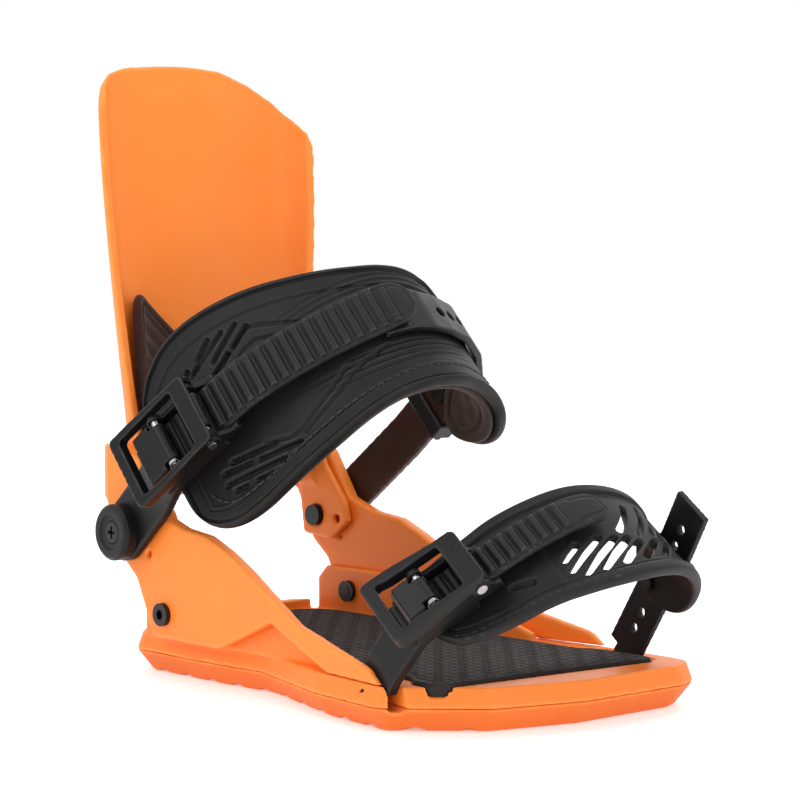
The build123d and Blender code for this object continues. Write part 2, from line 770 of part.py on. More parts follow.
def buckle_base(b):
    """Floor and two cheeks."""
    half = b.length / 2
    floor = box(-half + 2, half - 3, -b.cheek_out, b.cheek_out, 0, BUCKLE_FLOOR_T)
    boss = 2.9
    cheek = [
        (-half + 2, 0),
        (half - 3, 0),
        (half - 3, 3),
        (b.pin_x + 6, 3.4),
        (b.pin_x + boss, b.pin_z - 3),
        (b.pin_x + boss, b.pin_z),
        (b.pin_x - boss, b.pin_z),
        (b.pin_x - boss - 2, b.pin_z - 2),
        (b.tab_x + boss, b.pin_z - 2),
        (b.tab_x + boss, b.pin_z),
        (b.tab_x - boss, b.pin_z),
        (b.tab_x - 6, b.pin_z - 4),
        (-half + 2, 3),
    ]
    base = floor
    for side in (-1, 1):
        base += plate_xz(cheek, side * b.cheek_in, side * b.cheek_out)
        for x in (b.pin_x, b.tab_x):
            base += rod_y(x, b.pin_z, boss, side * b.cheek_in, side * b.cheek_out)
    base -= across_rod(b.pin_x, b.pin_z, PIN_R + RUN, b.cheek_out + 1)
    base -= across_rod(b.tab_x, b.pin_z, PIN_R + RUN, b.cheek_out + 1)
    return b.location * base


def buckle_lever(b):
    """Open loop lever: two side arms, a handle bar at the rear and a bridge over the toothed hub."""
    rear = -b.length / 2 - 5
    top = b.pin_z + LEVER_T / 2 + 1.6
    low = top - LEVER_T
    bridge_low = b.pin_z + 3 + GAP
    outline = [
        (rear, -b.rear_half - 2),
        (b.tab_x - 8, -b.rear_half - 2),
        (b.pin_x - 5, -b.arm_out),
        (b.pin_x + 4, -b.arm_out),
        (b.pin_x + 4, b.arm_out),
        (b.pin_x - 5, b.arm_out),
        (b.tab_x - 8, b.rear_half + 2),
        (rear, b.rear_half + 2),
    ]
    window = [
        (rear + 5, -b.rear_half + 1.5),
        (b.tab_x - 8, -b.arm_in),
        (b.pin_x - 4.4, -b.arm_in),
        (b.pin_x - 4.4, b.arm_in),
        (b.tab_x - 8, b.arm_in),
        (rear + 5, b.rear_half - 1.5),
    ]
    lever = plate_xy(outline, low, top + 1.4, 2.5)
    lever -= plate_xy(window, low - 1, top + 3, 1.5)
    lever -= box(b.pin_x - 8, b.pin_x + 8, -b.arm_in, b.arm_in, low - 1, bridge_low)
    for side in (-1, 1):
        eye = rod_y(b.pin_x, b.pin_z, 4, side * b.arm_in, side * b.arm_out)
        lever += eye
    hub_half = b.ladder_half - 3
    hub = across_rod(b.pin_x, b.pin_z, b.hub_r, hub_half)
    neck = box(b.pin_x - 2.2, b.pin_x + 2.2, -hub_half, hub_half, b.pin_z, bridge_low + 1)
    lever += hub + neck
    for i in range(4):
        groove = across_rod(b.hub_r + 0.5, 0, 0.8, hub_half + 1)
        lever -= Pos(b.pin_x, 0, b.pin_z) * Rot(0, 60 + 40 * i, 0) * groove
    lever -= across_rod(b.pin_x, b.pin_z, PIN_R + RUN, b.arm_out + 1)
    return b.location * lever


def buckle_tab(b):
    """Release tab between the cheeks, with a pawl that points at the teeth."""
    half = b.cheek_in - GAP
    tab = across_rod(b.tab_x, b.pin_z, 3.0, half)
    plate = [
        (b.tab_x, b.pin_z - 2.4),
        (b.tab_x, b.pin_z + 3),
        (-b.length / 2 + 4.5, b.pin_z + 2.2),
        (-b.length / 2 + 3, b.pin_z - 0.6),
        (-b.length / 2 + 5, b.pin_z - 2.4),
    ]
    tab += plate_xz(plate, -half, half)
    pawl = [
        (b.tab_x - 1, b.pin_z - 2),
        (b.tab_x - 5, b.pin_z - 2),
        (b.tab_x - 4.4, b.ladder_z + LADDER_T + TOOTH_H + GAP),
        (b.tab_x - 2.6, b.ladder_z + LADDER_T + TOOTH_H + GAP),
    ]
    tab += plate_xz(pawl, -half + 2, half - 2)
    tab -= across_rod(b.tab_x, b.pin_z, PIN_R + RUN, half + 1)
    for side in (-1, 1):
        low, high = sorted((side * (half - 2.6), side * (half + 1)))
        tab -= box(b.tab_x - 3.2, b.tab_x + 4, low, high, b.pin_z - 3.2, b.pin_z + 3.4)
    return b.location * tab


def buckle_pins(b):
    """Lever pin and tab pin with riveted heads."""
    pins = []
    lever_pin = across_rod(b.pin_x, b.pin_z, PIN_R, b.arm_out + 0.1)
    for side in (-1, 1):
        lever_pin += Pos(0, side * (b.arm_out + 0.5), 0) * across_rod(b.pin_x, b.pin_z, PIN_R + 0.5, 0.4)
    pins.append(b.location * lever_pin)
    pins.append(b.location * across_rod(b.tab_x, b.pin_z, PIN_R, b.cheek_out))
    return Compound(children=pins)


def buckle_springs(b):
    """Return springs round the lever pin and the tab pin."""
    springs = []
    wire = 0.3
    for x, half in ((b.pin_x, b.ladder_half), (b.tab_x, b.cheek_in - GAP)):
        coil = Helix(pitch=0.72, height=1.44, radius=PIN_R + 0.6)
        ring = Plane(origin=coil @ 0, z_dir=coil % 0) * Circle(wire)
        spring = sweep(ring, path=coil, is_frenet=True)
        place = Pos(x, -half + 0.5, b.pin_z) * Rot(-90, 0, 0)
        springs.append(b.location * place * spring)
    return Compound(children=springs)


# ---------------------------------------------------------------- ankle strap

def ankle_arm_path():
    """Middle line of the near arm, from the pivot to the front of the buckle's floor."""
    mid = (ARM_IN + ARM_OUT) / 2
    b = ANKLE_BUCKLE
    depth = -ARM_T / 2 - 0.1
    return [(-mid, 0), (-mid, 28), b.point(-b.length / 2 + 5, depth), b.point(b.length / 2 - 14, depth)]


def ladder_path(b, tail):
    """Middle line of a ladder, through its buckle and on to its fixed end."""
    depth = b.ladder_z + LADDER_T / 2
    return [b.point(-b.length / 2 - 2, depth), b.point(b.length / 2 + 2, depth), *tail]


def make_ladder(frame, path, radius, half, pitch, teeth, first):
    """A flexible strap with saw teeth on its outer face and a plain rounded end."""
    body = strap(frame, path, radius, LADDER_T / 2, LADDER_T / 2, -half, half)
    line = path_line(path, radius, LADDER_T / 2 - 0.05)
    total = line.length
    for i in range(teeth):
        here = (first + i * pitch) / total
        place = line @ here
        along = line % here
        slope = degrees(atan2(along.Y, along.X))
        tooth = make_face(Polyline((0, 0), (pitch * 0.92, 0), (pitch * 0.78, TOOTH_H), (pitch * 0.5, TOOTH_H), close=True))
        solid = extrude(tooth, amount=2 * half - 3)
        body += frame.location * Pos(place.X, place.Y, -half + 1.5) * Rot(0, 0, slope) * solid
    return body


ANKLE_LADDER_TAIL = [(-50.0, 107.5), (-37.0, 123.5), (-22.0, 137.0), (-9.0, 146.6), (0.0, 150.3)]
ANKLE_PAD_DEPTH = -(0.1 + ARM_T + 2 * GAP + ANKLE_PAD_T / 2)
ANKLE_PAD_PATH = [
    ANKLE_BUCKLE.point(-15, ANKLE_PAD_DEPTH),
    ANKLE_BUCKLE.point(16, ANKLE_PAD_DEPTH),
    (-39.5, 104.0),
    (-22.0, 127.0),
    (-4.0, 136.9),
    (10.0, 138.0),
    (20.5, 135.5),
    (33.5, 130.3),
    (45.5, 121.0),
    (53.5, 107.0),
    (56.0, 88.0),
    (54.0, 64.0),
]
FAR_ARM_AT = 64.3        # middle of the far arm where the connector meets it
CONNECTOR_AT = FAR_ARM_AT + (ARM_T - 0.7) / 2 + 0.8 + CONNECTOR_T / 2
CONNECTOR_PATH = [
    (-13.2, 139.7),
    (-3.0, 143.9),
    (10.0, 144.3),
    (22.0, 141.6),
    (36.0, 136.2),
    (50.0, 126.0),
    (62.0, 112.0),
    (CONNECTOR_AT, 95.0),
    (CONNECTOR_AT, 68.0),
]
CONNECTOR_BOLT_UP = 88.0
KEEPER_UP = 76.0


def make_ankle_arm_near():
    path = ankle_arm_path()
    arm = strap(ANKLE, path, 22, ARM_T / 2, ARM_T / 2, -ANKLE_ARM_HALF, ANKLE_ARM_HALF)
    arm += rod_y(PIVOT_X, PIVOT_Z, ANKLE_ARM_HALF, -ARM_OUT, -ARM_IN)
    return arm - rod_y(PIVOT_X, PIVOT_Z, SLEEVE_R + RUN, -ARM_OUT - 1, -ARM_IN + 1)


def make_ankle_arm_far():
    mid = (ARM_IN + ARM_OUT) / 2
    path = [(FAR_ARM_AT, 92.0), (FAR_ARM_AT, 58.0), (mid, 22.0), (mid, 0.0)]
    half = ANKLE_ARM_HALF - 2
    arm = strap(ANKLE, path, 30, ARM_T / 2 - 0.7, ARM_T / 2, -half, half)
    arm -= connector_bolt_rod(2.0 + RUN, FAR_ARM_AT - 6, FAR_ARM_AT + 6)
    arm += rod_y(PIVOT_X, PIVOT_Z, half, ARM_IN + 0.7, ARM_OUT)
    return arm - rod_y(PIVOT_X, PIVOT_Z, SLEEVE_R + RUN, ARM_IN - 1, ARM_OUT + 1)


def make_ankle_pad():
    inner, outer = ANKLE_PAD_T / 2 - LINER_T, ANKLE_PAD_T / 2
    pad = strap(ANKLE, ANKLE_PAD_PATH, 18, inner, outer, -ANKLE_PAD_HALF, ANKLE_PAD_HALF)
    return pad - ankle_fixing(2 + RUN, -16, 2)


def make_ankle_liner():
    """Soft layer on the boot side of the pad."""
    half = ANKLE_PAD_HALF - 3
    inner = ANKLE_PAD_T / 2
    liner = strap(ANKLE, ANKLE_PAD_PATH, 18, inner, -(inner - LINER_T) - 0.05, -half, half)
    return liner - ankle_fixing(5, -20, 2)


def make_ankle_ladder():
    path = ladder_path(ANKLE_BUCKLE, ANKLE_LADDER_TAIL)
    ladder = make_ladder(ANKLE, path, 16, ANKLE_LADDER_HALF, TOOTH_PITCH, 20, 2)
    return ladder - ankle_fixing(2 + RUN, 0, 12)


def make_toe_ladder():
    path = ladder_path(TOE_BUCKLE, TOE_LADDER_TAIL)
    ladder = make_ladder(TOE, path, 12, TOE_LADDER_HALF, TOE_TOOTH_PITCH, 15, 2)
    return ladder - toe_fixing(1.6 + RUN, 0, 14)


def make_ankle_ladder_screw():
    """Holds the ladder, connector and pad together under the ladder's plain end."""
    return ankle_fixing(2, -10.6, 4.6) + ankle_fixing(4, -12.4, -10.4)


def make_toe_ladder_screw():
    return toe_fixing(1.6, -2.8, 6.4) + toe_fixing(3.4, -4.4, -2.6)


def make_connector():
    """The strap that joins the ladder and pad to the far arm, with a row of length holes."""
    low, high = CONNECTOR_SHIFT - CONNECTOR_HALF, CONNECTOR_SHIFT + CONNECTOR_HALF
    band = strap(ANKLE, CONNECTOR_PATH, 16, CONNECTOR_T / 2, CONNECTOR_T / 2, low, high)
    line = path_line(CONNECTOR_PATH, 16)
    for i in range(CONNECTOR_HOLES):
        here = (34 + i * CONNECTOR_HOLE_PITCH) / line.length
        place = line @ here
        along = line % here
        slope = degrees(atan2(along.Y, along.X))
        hole = Rot(90, 0, 0) * Cylinder(CONNECTOR_HOLE_R, 3 * CONNECTOR_T)
        band -= ANKLE.location * Pos(place.X, place.Y, CONNECTOR_SHIFT) * Rot(0, 0, slope) * hole
    band -= ankle_fixing(2 + RUN, -4, 4)
    return band - connector_bolt_rod(2.0 + RUN, CONNECTOR_AT - 4, CONNECTOR_AT + 4)


def connector_bolt_rod(r, a0, a1):
    """A cylinder along the connector bolt's line, between two distances from the middle."""
    return ANKLE.location * Pos((a0 + a1) / 2, CONNECTOR_BOLT_UP, 0) * Rot(0, 90, 0) * Cylinder(r, a1 - a0)


def make_connector_bolt():
    face = CONNECTOR_AT + CONNECTOR_T / 2
    bolt = connector_bolt_rod(2.0, FAR_ARM_AT - 3.6, face + 0.1)
    return bolt + connector_bolt_rod(4.2, face + 0.05, face + 2)


def make_connector_nut():
    inner = FAR_ARM_AT - ARM_T / 2
    nut = connector_bolt_rod(4.2, inner - 1.5, inner - 0.05)
    return nut - connector_bolt_rod(2.0 + RUN, inner - 3, inner + 1)


def make_keeper():
    """Small loop that holds the connector against the far arm."""
    low = FAR_ARM_AT - ARM_T / 2 - 0.4
    high = CONNECTOR_AT + CONNECTOR_T / 2 + 0.4
    middle, room = (low + high) / 2, high - low
    keeper_half = CONNECTOR_HALF + CONNECTOR_SHIFT
    outer = Pos(middle, KEEPER_UP, 0) * Box(room + 3, 8, 2 * keeper_half + 4)
    inner = Pos(middle, KEEPER_UP, 0) * Box(room, 11, 2 * keeper_half + 0.4)
    return ANKLE.location * (outer - inner)


def fixing_rod(frame, path, radius, at, r, low, high):
    """A cylinder square to a strap, centred a given length along its path."""
    line = path_line(path, radius)
    place = line @ (at / line.length)
    along = line % (at / line.length)
    slope = degrees(atan2(along.Y, along.X))
    solid = Pos(0, (low + high) / 2, 0) * Rot(90, 0, 0) * Cylinder(r, high - low)
    return frame.location * Pos(place.X, place.Y, 0) * Rot(0, 0, slope) * solid


def ankle_fixing(r, low, high):
    return fixing_rod(ANKLE, CONNECTOR_PATH, 16, 11.0, r, low, high)


def toe_fixing(r, low, high):
    line = path_line(TOE_PAD_PATH, TOE_BEND)
    return fixing_rod(TOE, TOE_PAD_PATH, TOE_BEND, line.length * 0.44, r, low, high)


# ---------------------------------------------------------------- toe strap

TOE_BEND = 13.0
TOE_PAD_DEPTH = -(0.1 + ARM_T + 2 * GAP + TOE_PAD_T / 2)
TOE_PAD_FAR = TOE_ARM_AT - TOE_ADJUSTER_T / 2 - GAP - 0.2 - TOE_PAD_T / 2
TOE_PAD_PATH = [
    TOE_BUCKLE.point(-13, TOE_PAD_DEPTH),
    TOE_BUCKLE.point(10, TOE_PAD_DEPTH),
    (-18.0, 63.0),
    (-3.0, 72.5),
    (14.0, 76.4),
    (32.0, 74.0),
    (46.0, 66.5),
    (TOE_PAD_FAR, 54.0),
    (TOE_PAD_FAR, 35.0),
]
TOE_LADDER_TAIL = [(-17.5, 71.6), (-5.0, 79.0), (4.0, 82.0), (12.0, 82.9)]
TOE_ADJUSTER_PATH = [(TOE_ARM_AT, 6.0), (TOE_ARM_AT, 61.0), (TOE_ARM_AT - 1.6, 80.0)]
TOE_BOLT_UP = 42.0
SLIDER_UP = 54.0


def toe_arm_path():
    """Middle line of the near toe arm, from above its eye to the buckle's floor."""
    b = TOE_BUCKLE
    depth = -ARM_T / 2 - 0.1
    return [(-TOE_ARM_AT, 6), (-TOE_ARM_AT, 12), b.point(-b.length / 2 + 4, depth), b.point(b.length / 2 - 14, depth)]


def toe_eye(side, thickness):
    """Narrow lower end of a toe arm, with its eye round the axle."""
    neck = Pos(0, 4, 0) * Box(thickness, 8, 2 * TOE_EYE_R)
    eye = Rot(0, 90, 0) * Cylinder(TOE_EYE_R, thickness)
    return TOE.location * Pos(side * TOE_ARM_AT, 0, 0) * (neck + eye)


def make_toe_arm_near():
    arm = strap(TOE, toe_arm_path(), 11, ARM_T / 2, ARM_T / 2, -TOE_ARM_HALF, TOE_ARM_HALF)
    arm += toe_eye(-1, ARM_T)
    return arm - toe_axle_holes(TOE_AXLE_R + RUN, 8)[0]


def make_toe_adjuster():
    """Far toe strap: it stands up from its axle, through the slider, to a free tail."""
    half = TOE_ARM_HALF
    strip = strap(TOE, TOE_ADJUSTER_PATH, 30, TOE_ADJUSTER_T / 2, TOE_ADJUSTER_T / 2, -half, half)
    strip += toe_eye(1, TOE_ADJUSTER_T)
    for up in (18, 26, 60, 68):
        strip -= TOE.location * Pos(TOE_ARM_AT, up, 0) * Rot(0, 90, 0) * Cylinder(1.8, 12)
    strip -= toe_bolt_rod(1.6 + RUN, TOE_ARM_AT - 4, TOE_ARM_AT + 4)
    return strip - toe_axle_holes(TOE_AXLE_R + RUN, 8)[1]


def toe_bolt_rod(r, a0, a1):
    """A cylinder along the adjuster bolt's line."""
    return TOE.location * Pos((a0 + a1) / 2, TOE_BOLT_UP, 0) * Rot(0, 90, 0) * Cylinder(r, a1 - a0)


def make_toe_adjuster_bolt():
    face = TOE_ARM_AT + TOE_ADJUSTER_T / 2
    inner = TOE_PAD_FAR - TOE_PAD_T / 2
    bolt = toe_bolt_rod(1.6, inner - 0.1, face + 0.1)
    return bolt + toe_bolt_rod(3.2, face + 0.05, face + 1.6) + toe_bolt_rod(3.2, inner - 1.4, inner - 0.05)


def make_toe_pad():
    pad = strap(TOE, TOE_PAD_PATH, TOE_BEND, TOE_PAD_T / 2, TOE_PAD_T / 2, -TOE_PAD_HALF, TOE_PAD_HALF)
    line = path_line(TOE_PAD_PATH, TOE_BEND)
    for i in range(4):
        here = 0.56 + 0.075 * i
        place = line @ here
        along = line % here
        slope = degrees(atan2(along.Y, along.X))
        for side in (-1, 1):
            slot = Rot(0, side * 25, 0) * Box(3.4, 3 * TOE_PAD_T, TOE_PAD_HALF * 0.7)
            pad -= TOE.location * Pos(place.X, place.Y, side * TOE_PAD_HALF * 0.45) * Rot(0, 0, slope) * slot
    pad -= toe_fixing(1.6 + RUN, -6, 6)
    return pad - toe_bolt_rod(1.6 + RUN, TOE_PAD_FAR - 4, TOE_PAD_FAR + 4)


def make_toe_slider():
    """Loop on the toe pad that the adjuster's tail runs through."""
    low = TOE_PAD_FAR + TOE_PAD_T / 2
    high = TOE_ARM_AT + TOE_ADJUSTER_T / 2 + 0.4
    frame = Pos((low + high + 1.6) / 2, SLIDER_UP, 0) * Box(high + 1.6 - low, 7, 2 * TOE_ARM_HALF + 4)
    room = Pos((TOE_ARM_AT), SLIDER_UP, 0) * Box(2 * (high - TOE_ARM_AT), 9, 2 * TOE_ARM_HALF + 0.8)
    return TOE.location * (frame - room)


NODES = {}


def build():
    NODES["baseplate"] = make_baseplate()
    NODES["base_sole"] = make_base_sole()
    NODES["mounting_disc"] = make_mounting_disc()
    NODES["footbed"] = make_footbed()
    NODES["heelcup"] = make_heelcup()
    NODES["heelcup_bolts"] = make_low_bolts()
    NODES["heelcup_nuts"] = make_low_nuts()
    NODES["pivot_sleeves"] = make_pivot_sleeves()
    NODES["pivot_caps"] = make_pivot_caps()
    NODES["pivot_screws"] = make_pivot_screws()
    NODES["pivot_nuts"] = make_pivot_nuts()
    NODES["highback"] = make_highback()
    NODES["highback_pad"] = make_highback_pad()
    NODES["lean_block"] = make_lean_block()
    NODES["lean_screw"] = make_lean_screw()
    NODES["lean_nut"] = make_lean_nut()
    NODES["ankle_arm_near"] = make_ankle_arm_near()
    NODES["ankle_arm_far"] = make_ankle_arm_far()
    NODES["ankle_pad"] = make_ankle_pad()
    NODES["ankle_liner"] = make_ankle_liner()
    NODES["ankle_connector"] = make_connector()
    NODES["ankle_keeper"] = make_keeper()
    NODES["ankle_ladder"] = make_ankle_ladder()
    NODES["ankle_ladder_screw"] = make_ankle_ladder_screw()
    NODES["connector_bolt"] = make_connector_bolt()
    NODES["connector_nut"] = make_connector_nut()
    NODES["toe_axles"] = make_toe_axles()
    NODES["toe_arm_near"] = make_toe_arm_near()
    NODES["toe_adjuster"] = make_toe_adjuster()
    NODES["toe_adjuster_bolt"] = make_toe_adjuster_bolt()
    NODES["toe_pad"] = make_toe_pad()
    NODES["toe_slider"] = make_toe_slider()
    NODES["toe_ladder"] = make_toe_ladder()
    NODES["toe_ladder_screw"] = make_toe_ladder_screw()
    for name, b in (("ankle", ANKLE_BUCKLE), ("toe", TOE_BUCKLE)):
        NODES[name + "_buckle_base"] = buckle_base(b)
        NODES[name + "_buckle_lever"] = buckle_lever(b)
        NODES[name + "_release_tab"] = buckle_tab(b)
        NODES[name + "_buckle_pins"] = buckle_pins(b)
        NODES[name + "_buckle_springs"] = buckle_springs(b)


if __name__ == "__main__":
    build()
    os.makedirs("parts", exist_ok=True)
    for name, shape in NODES.items():
        export_step(shape, "parts/" + name + ".step")
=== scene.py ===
import math

import bmesh
import bpy
import numpy as np
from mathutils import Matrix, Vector


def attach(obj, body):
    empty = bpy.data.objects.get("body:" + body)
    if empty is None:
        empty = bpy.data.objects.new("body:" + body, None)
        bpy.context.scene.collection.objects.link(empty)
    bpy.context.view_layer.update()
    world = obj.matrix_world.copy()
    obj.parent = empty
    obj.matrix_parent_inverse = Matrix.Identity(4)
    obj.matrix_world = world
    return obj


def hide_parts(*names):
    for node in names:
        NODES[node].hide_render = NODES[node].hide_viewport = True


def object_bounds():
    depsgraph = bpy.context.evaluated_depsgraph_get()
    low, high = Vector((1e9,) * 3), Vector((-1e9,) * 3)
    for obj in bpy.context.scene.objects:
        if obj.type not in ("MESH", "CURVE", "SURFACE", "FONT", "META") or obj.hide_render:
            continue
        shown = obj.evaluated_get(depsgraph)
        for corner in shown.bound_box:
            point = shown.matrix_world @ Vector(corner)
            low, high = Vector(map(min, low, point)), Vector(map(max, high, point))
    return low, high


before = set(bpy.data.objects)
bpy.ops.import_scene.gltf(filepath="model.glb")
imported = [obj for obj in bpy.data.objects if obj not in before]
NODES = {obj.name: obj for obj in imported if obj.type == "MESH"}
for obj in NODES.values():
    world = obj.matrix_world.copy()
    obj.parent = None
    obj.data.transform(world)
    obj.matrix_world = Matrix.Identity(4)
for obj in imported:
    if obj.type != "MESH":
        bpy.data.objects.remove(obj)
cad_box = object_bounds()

MM = 0.001


# ---------------------------------------------------------------- materials

class Look:
    """A small helper that wires a principled shader."""

    def __init__(self, name):
        self.material = bpy.data.materials.new(name)
        self.material.use_nodes = True
        self.tree = self.material.node_tree
        self.shader = self.tree.nodes["Principled BSDF"]
        self.where = self.add("ShaderNodeTexCoord").outputs["Object"]

    def add(self, kind, **values):
        node = self.tree.nodes.new(kind)
        for key, value in values.items():
            if hasattr(node, key):
                setattr(node, key, value)
            else:
                node.inputs[key.replace("_", " ")].default_value = value
        return node

    def join(self, source, target):
        self.tree.links.new(source, target)
        return self

    def noise(self, scale, detail=3.0, rough=0.55):
        node = self.add("ShaderNodeTexNoise")
        node.inputs["Scale"].default_value = scale
        node.inputs["Detail"].default_value = detail
        node.inputs["Roughness"].default_value = rough
        self.join(self.where, node.inputs["Vector"])
        return node.outputs["Fac"]

    def ramp(self, source, low, high, start=0.0, end=1.0):
        node = self.add("ShaderNodeMapRange")
        node.inputs["From Min"].default_value = start
        node.inputs["From Max"].default_value = end
        node.inputs["To Min"].default_value = low
        node.inputs["To Max"].default_value = high
        self.join(source, node.inputs["Value"])
        return node.outputs["Result"]

    def math(self, operation, a, b=None):
        node = self.add("ShaderNodeMath", operation=operation)
        for socket, value in zip(node.inputs, (a, b)):
            if value is None:
                continue
            if isinstance(value, (int, float)):
                socket.default_value = value
            else:
                self.join(value, socket)
        return node.outputs[0]

    def mix(self, factor, first, second):
        node = self.add("ShaderNodeMix", data_type="RGBA")
        if isinstance(factor, (int, float)):
            node.inputs[0].default_value = factor
        else:
            self.join(factor, node.inputs[0])
        for socket, value in ((node.inputs[6], first), (node.inputs[7], second)):
            if isinstance(value, (tuple, list)):
                socket.default_value = (*value, 1.0)
            else:
                self.join(value, socket)
        return node.outputs[2]

    def bump(self, height, distance, strength=1.0, under=None):
        node = self.add("ShaderNodeBump")
        node.inputs["Distance"].default_value = distance * MM
        node.inputs["Strength"].default_value = strength
        self.join(height, node.inputs["Height"])
        if under is not None:
            self.join(under, node.inputs["Normal"])
        return node.outputs["Normal"]

    def set(self, **values):
        for key, value in values.items():
            socket = self.shader.inputs[key.replace("_", " ")]
            if isinstance(value, (int, float)):
                socket.default_value = value
            elif isinstance(value, tuple):
                socket.default_value = (*value, 1.0)
            else:
                self.join(value, socket)
        return self


def plastic(name, dark, light, rough, grain, edge=None, coat=0.0, spec=0.5):
    """Moulded plastic: faint cloudy colour, fine grain, a painted highlight on convex edges."""
    look = Look(name)
    cloud = look.noise(14.0, 4.0)
    colour = look.mix(look.ramp(cloud, 0.0, 1.0, 0.3, 0.7), dark, light)
    # edge is the colour of a painted highlight on convex edges: pointiness picks the edges and noise makes it
    # patchy
    if edge is not None:
        pointiness = look.add("ShaderNodeNewGeometry").outputs["Pointiness"]
        painted_edge_highlight = look.ramp(pointiness, 0.0, 1.0, 0.505, 0.56)
        painted_edge_highlight = look.math("MULTIPLY", painted_edge_highlight, look.ramp(look.noise(160.0, 5.0), 0.25, 1.0, 0.3, 0.7))
        colour = look.mix(painted_edge_highlight, colour, edge)
    fine = look.noise(1100.0 / grain, 2.0)
    broad = look.noise(55.0, 2.0)
    normal = look.bump(broad, 0.25, 0.12)
    look.set(
        Base_Color=colour,
        Roughness=look.ramp(look.noise(90.0, 5.0), rough - 0.05, rough + 0.07, 0.25, 0.75),
        Normal=look.bump(fine, 0.05 * grain, 0.55, normal),
        Specular_IOR_Level=spec,
        Coat_Weight=coat,
        Coat_Roughness=0.25,
    )
    return look.material


def foam(name, dark, light, cell):
    """Closed-cell foam: soft, grainy and a little dusty at grazing angles."""
    look = Look(name)
    cells = look.add("ShaderNodeTexVoronoi")
    cells.inputs["Scale"].default_value = 1000.0 / cell
    look.join(look.where, cells.inputs["Vector"])
    mottle = look.noise(60.0, 6.0, 0.7)
    look.set(
        Base_Color=look.mix(look.ramp(mottle, 0.0, 1.0, 0.3, 0.7), dark, light),
        Roughness=look.ramp(look.noise(240.0, 4.0), 0.72, 0.95),
        Normal=look.bump(cells.outputs["Distance"], 0.12, 0.6, look.bump(mottle, 0.3, 0.25)),
        Specular_IOR_Level=0.3,
        Sheen_Weight=0.12,
        Sheen_Roughness=0.5,
    )
    return look.material


def metal(name, colour, rough, scratch=0.5):
    """Metal with fine scratches."""
    look = Look(name)
    brushed = look.noise(700.0, 5.0, 0.7)
    look.set(
        Base_Color=look.mix(look.noise(120.0, 4.0), colour, tuple(c * 0.75 for c in colour)),
        Metallic=1.0,
        Roughness=look.ramp(brushed, rough, rough + 0.18),
        Normal=look.bump(brushed, 0.02, scratch),
    )
    return look.material


# each edge= colour is a painted highlight on that plastic's convex edges
LOOKS = {
    "tray": plastic(
        "satin_orange_tray", (0.86, 0.190, 0.019), (0.90, 0.215, 0.024),
        rough=0.42, grain=1.0, edge=(0.97, 0.33, 0.07), coat=0.03, spec=0.32,
    ),
    "shell": plastic(
        "satin_orange_shell", (0.87, 0.205, 0.020), (0.91, 0.230, 0.026),
        rough=0.44, grain=0.9, edge=(0.97, 0.34, 0.07), coat=0.03, spec=0.32,
    ),
    "sole": plastic(
        "rubber_orange_sole", (0.72, 0.145, 0.018), (0.80, 0.175, 0.023),
        rough=0.60, grain=1.6, edge=(0.95, 0.30, 0.06), spec=0.3,
    ),
    "black": plastic(
        "moulded_black", (0.006, 0.006, 0.0065), (0.010, 0.010, 0.011),
        rough=0.42, grain=0.9, edge=(0.04, 0.04, 0.042), spec=0.2,
    ),
    "gloss": plastic(
        "semi_gloss_black", (0.004, 0.004, 0.0045), (0.007, 0.007, 0.008),
        rough=0.30, grain=0.7, edge=(0.05, 0.05, 0.052), spec=0.22,
    ),
    "rubber": plastic(
        "ladder_black", (0.007, 0.007, 0.0075), (0.012, 0.012, 0.013),
        rough=0.46, grain=1.0, edge=(0.045, 0.045, 0.047), spec=0.2,
    ),
    # black plastic of the far ankle arm, tinted brown: a painted reflection of the orange parts
    "reflection_tinted_black": plastic(
        "black_painted_orange_reflection", (0.026, 0.010, 0.007), (0.040, 0.017, 0.011),
        rough=0.36, grain=0.9, edge=(0.10, 0.05, 0.035), spec=0.3,
    ),
    "pad": plastic(
        "pad_shell_black", (0.006, 0.006, 0.0065), (0.010, 0.010, 0.011),
        rough=0.50, grain=1.4, edge=(0.035, 0.035, 0.037), spec=0.2,
    ),
    "liner": foam("liner_foam", (0.026, 0.015, 0.011), (0.050, 0.030, 0.022), 1.1),
    "back_foam": foam("back_foam", (0.030, 0.011, 0.008), (0.045, 0.017, 0.011), 1.2),
    "footbed": foam("footbed_foam", (0.012, 0.010, 0.009), (0.026, 0.021, 0.019), 0.9),
    "bolt": metal("black_oxide_steel", (0.045, 0.045, 0.048), 0.30),
    "rivet": metal("bright_steel", (0.62, 0.62, 0.63), 0.18),
    "thread": foam("stitch_thread", (0.02, 0.02, 0.02), (0.04, 0.04, 0.04), 0.4),
}

NODE_LOOK = {
    "baseplate": "tray", "base_sole": "sole", "mounting_disc": "black", "footbed": "footbed",
    "heelcup": "shell", "heelcup_bolts": "bolt", "heelcup_nuts": "bolt",
    "pivot_sleeves": "black", "pivot_caps": "black", "pivot_screws": "bolt", "pivot_nuts": "bolt",
    "highback": "shell", "highback_pad": "back_foam", "lean_block": "black", "lean_screw": "bolt",
    # ankle_arm_far is black plastic whose brown tint is a painted reflection of the orange parts
    "lean_nut": "rivet", "ankle_arm_near": "black", "ankle_arm_far": "reflection_tinted_black",
    "ankle_pad": "pad", "ankle_liner": "liner", "ankle_connector": "black", "ankle_keeper": "black",
    "ankle_ladder": "rubber", "ankle_ladder_screw": "bolt", "connector_bolt": "bolt", "connector_nut": "bolt",
    "toe_axles": "bolt", "toe_arm_near": "black", "toe_adjuster": "black", "toe_adjuster_bolt": "bolt",
    "toe_pad": "pad", "toe_slider": "black", "toe_ladder": "rubber", "toe_ladder_screw": "bolt",
}
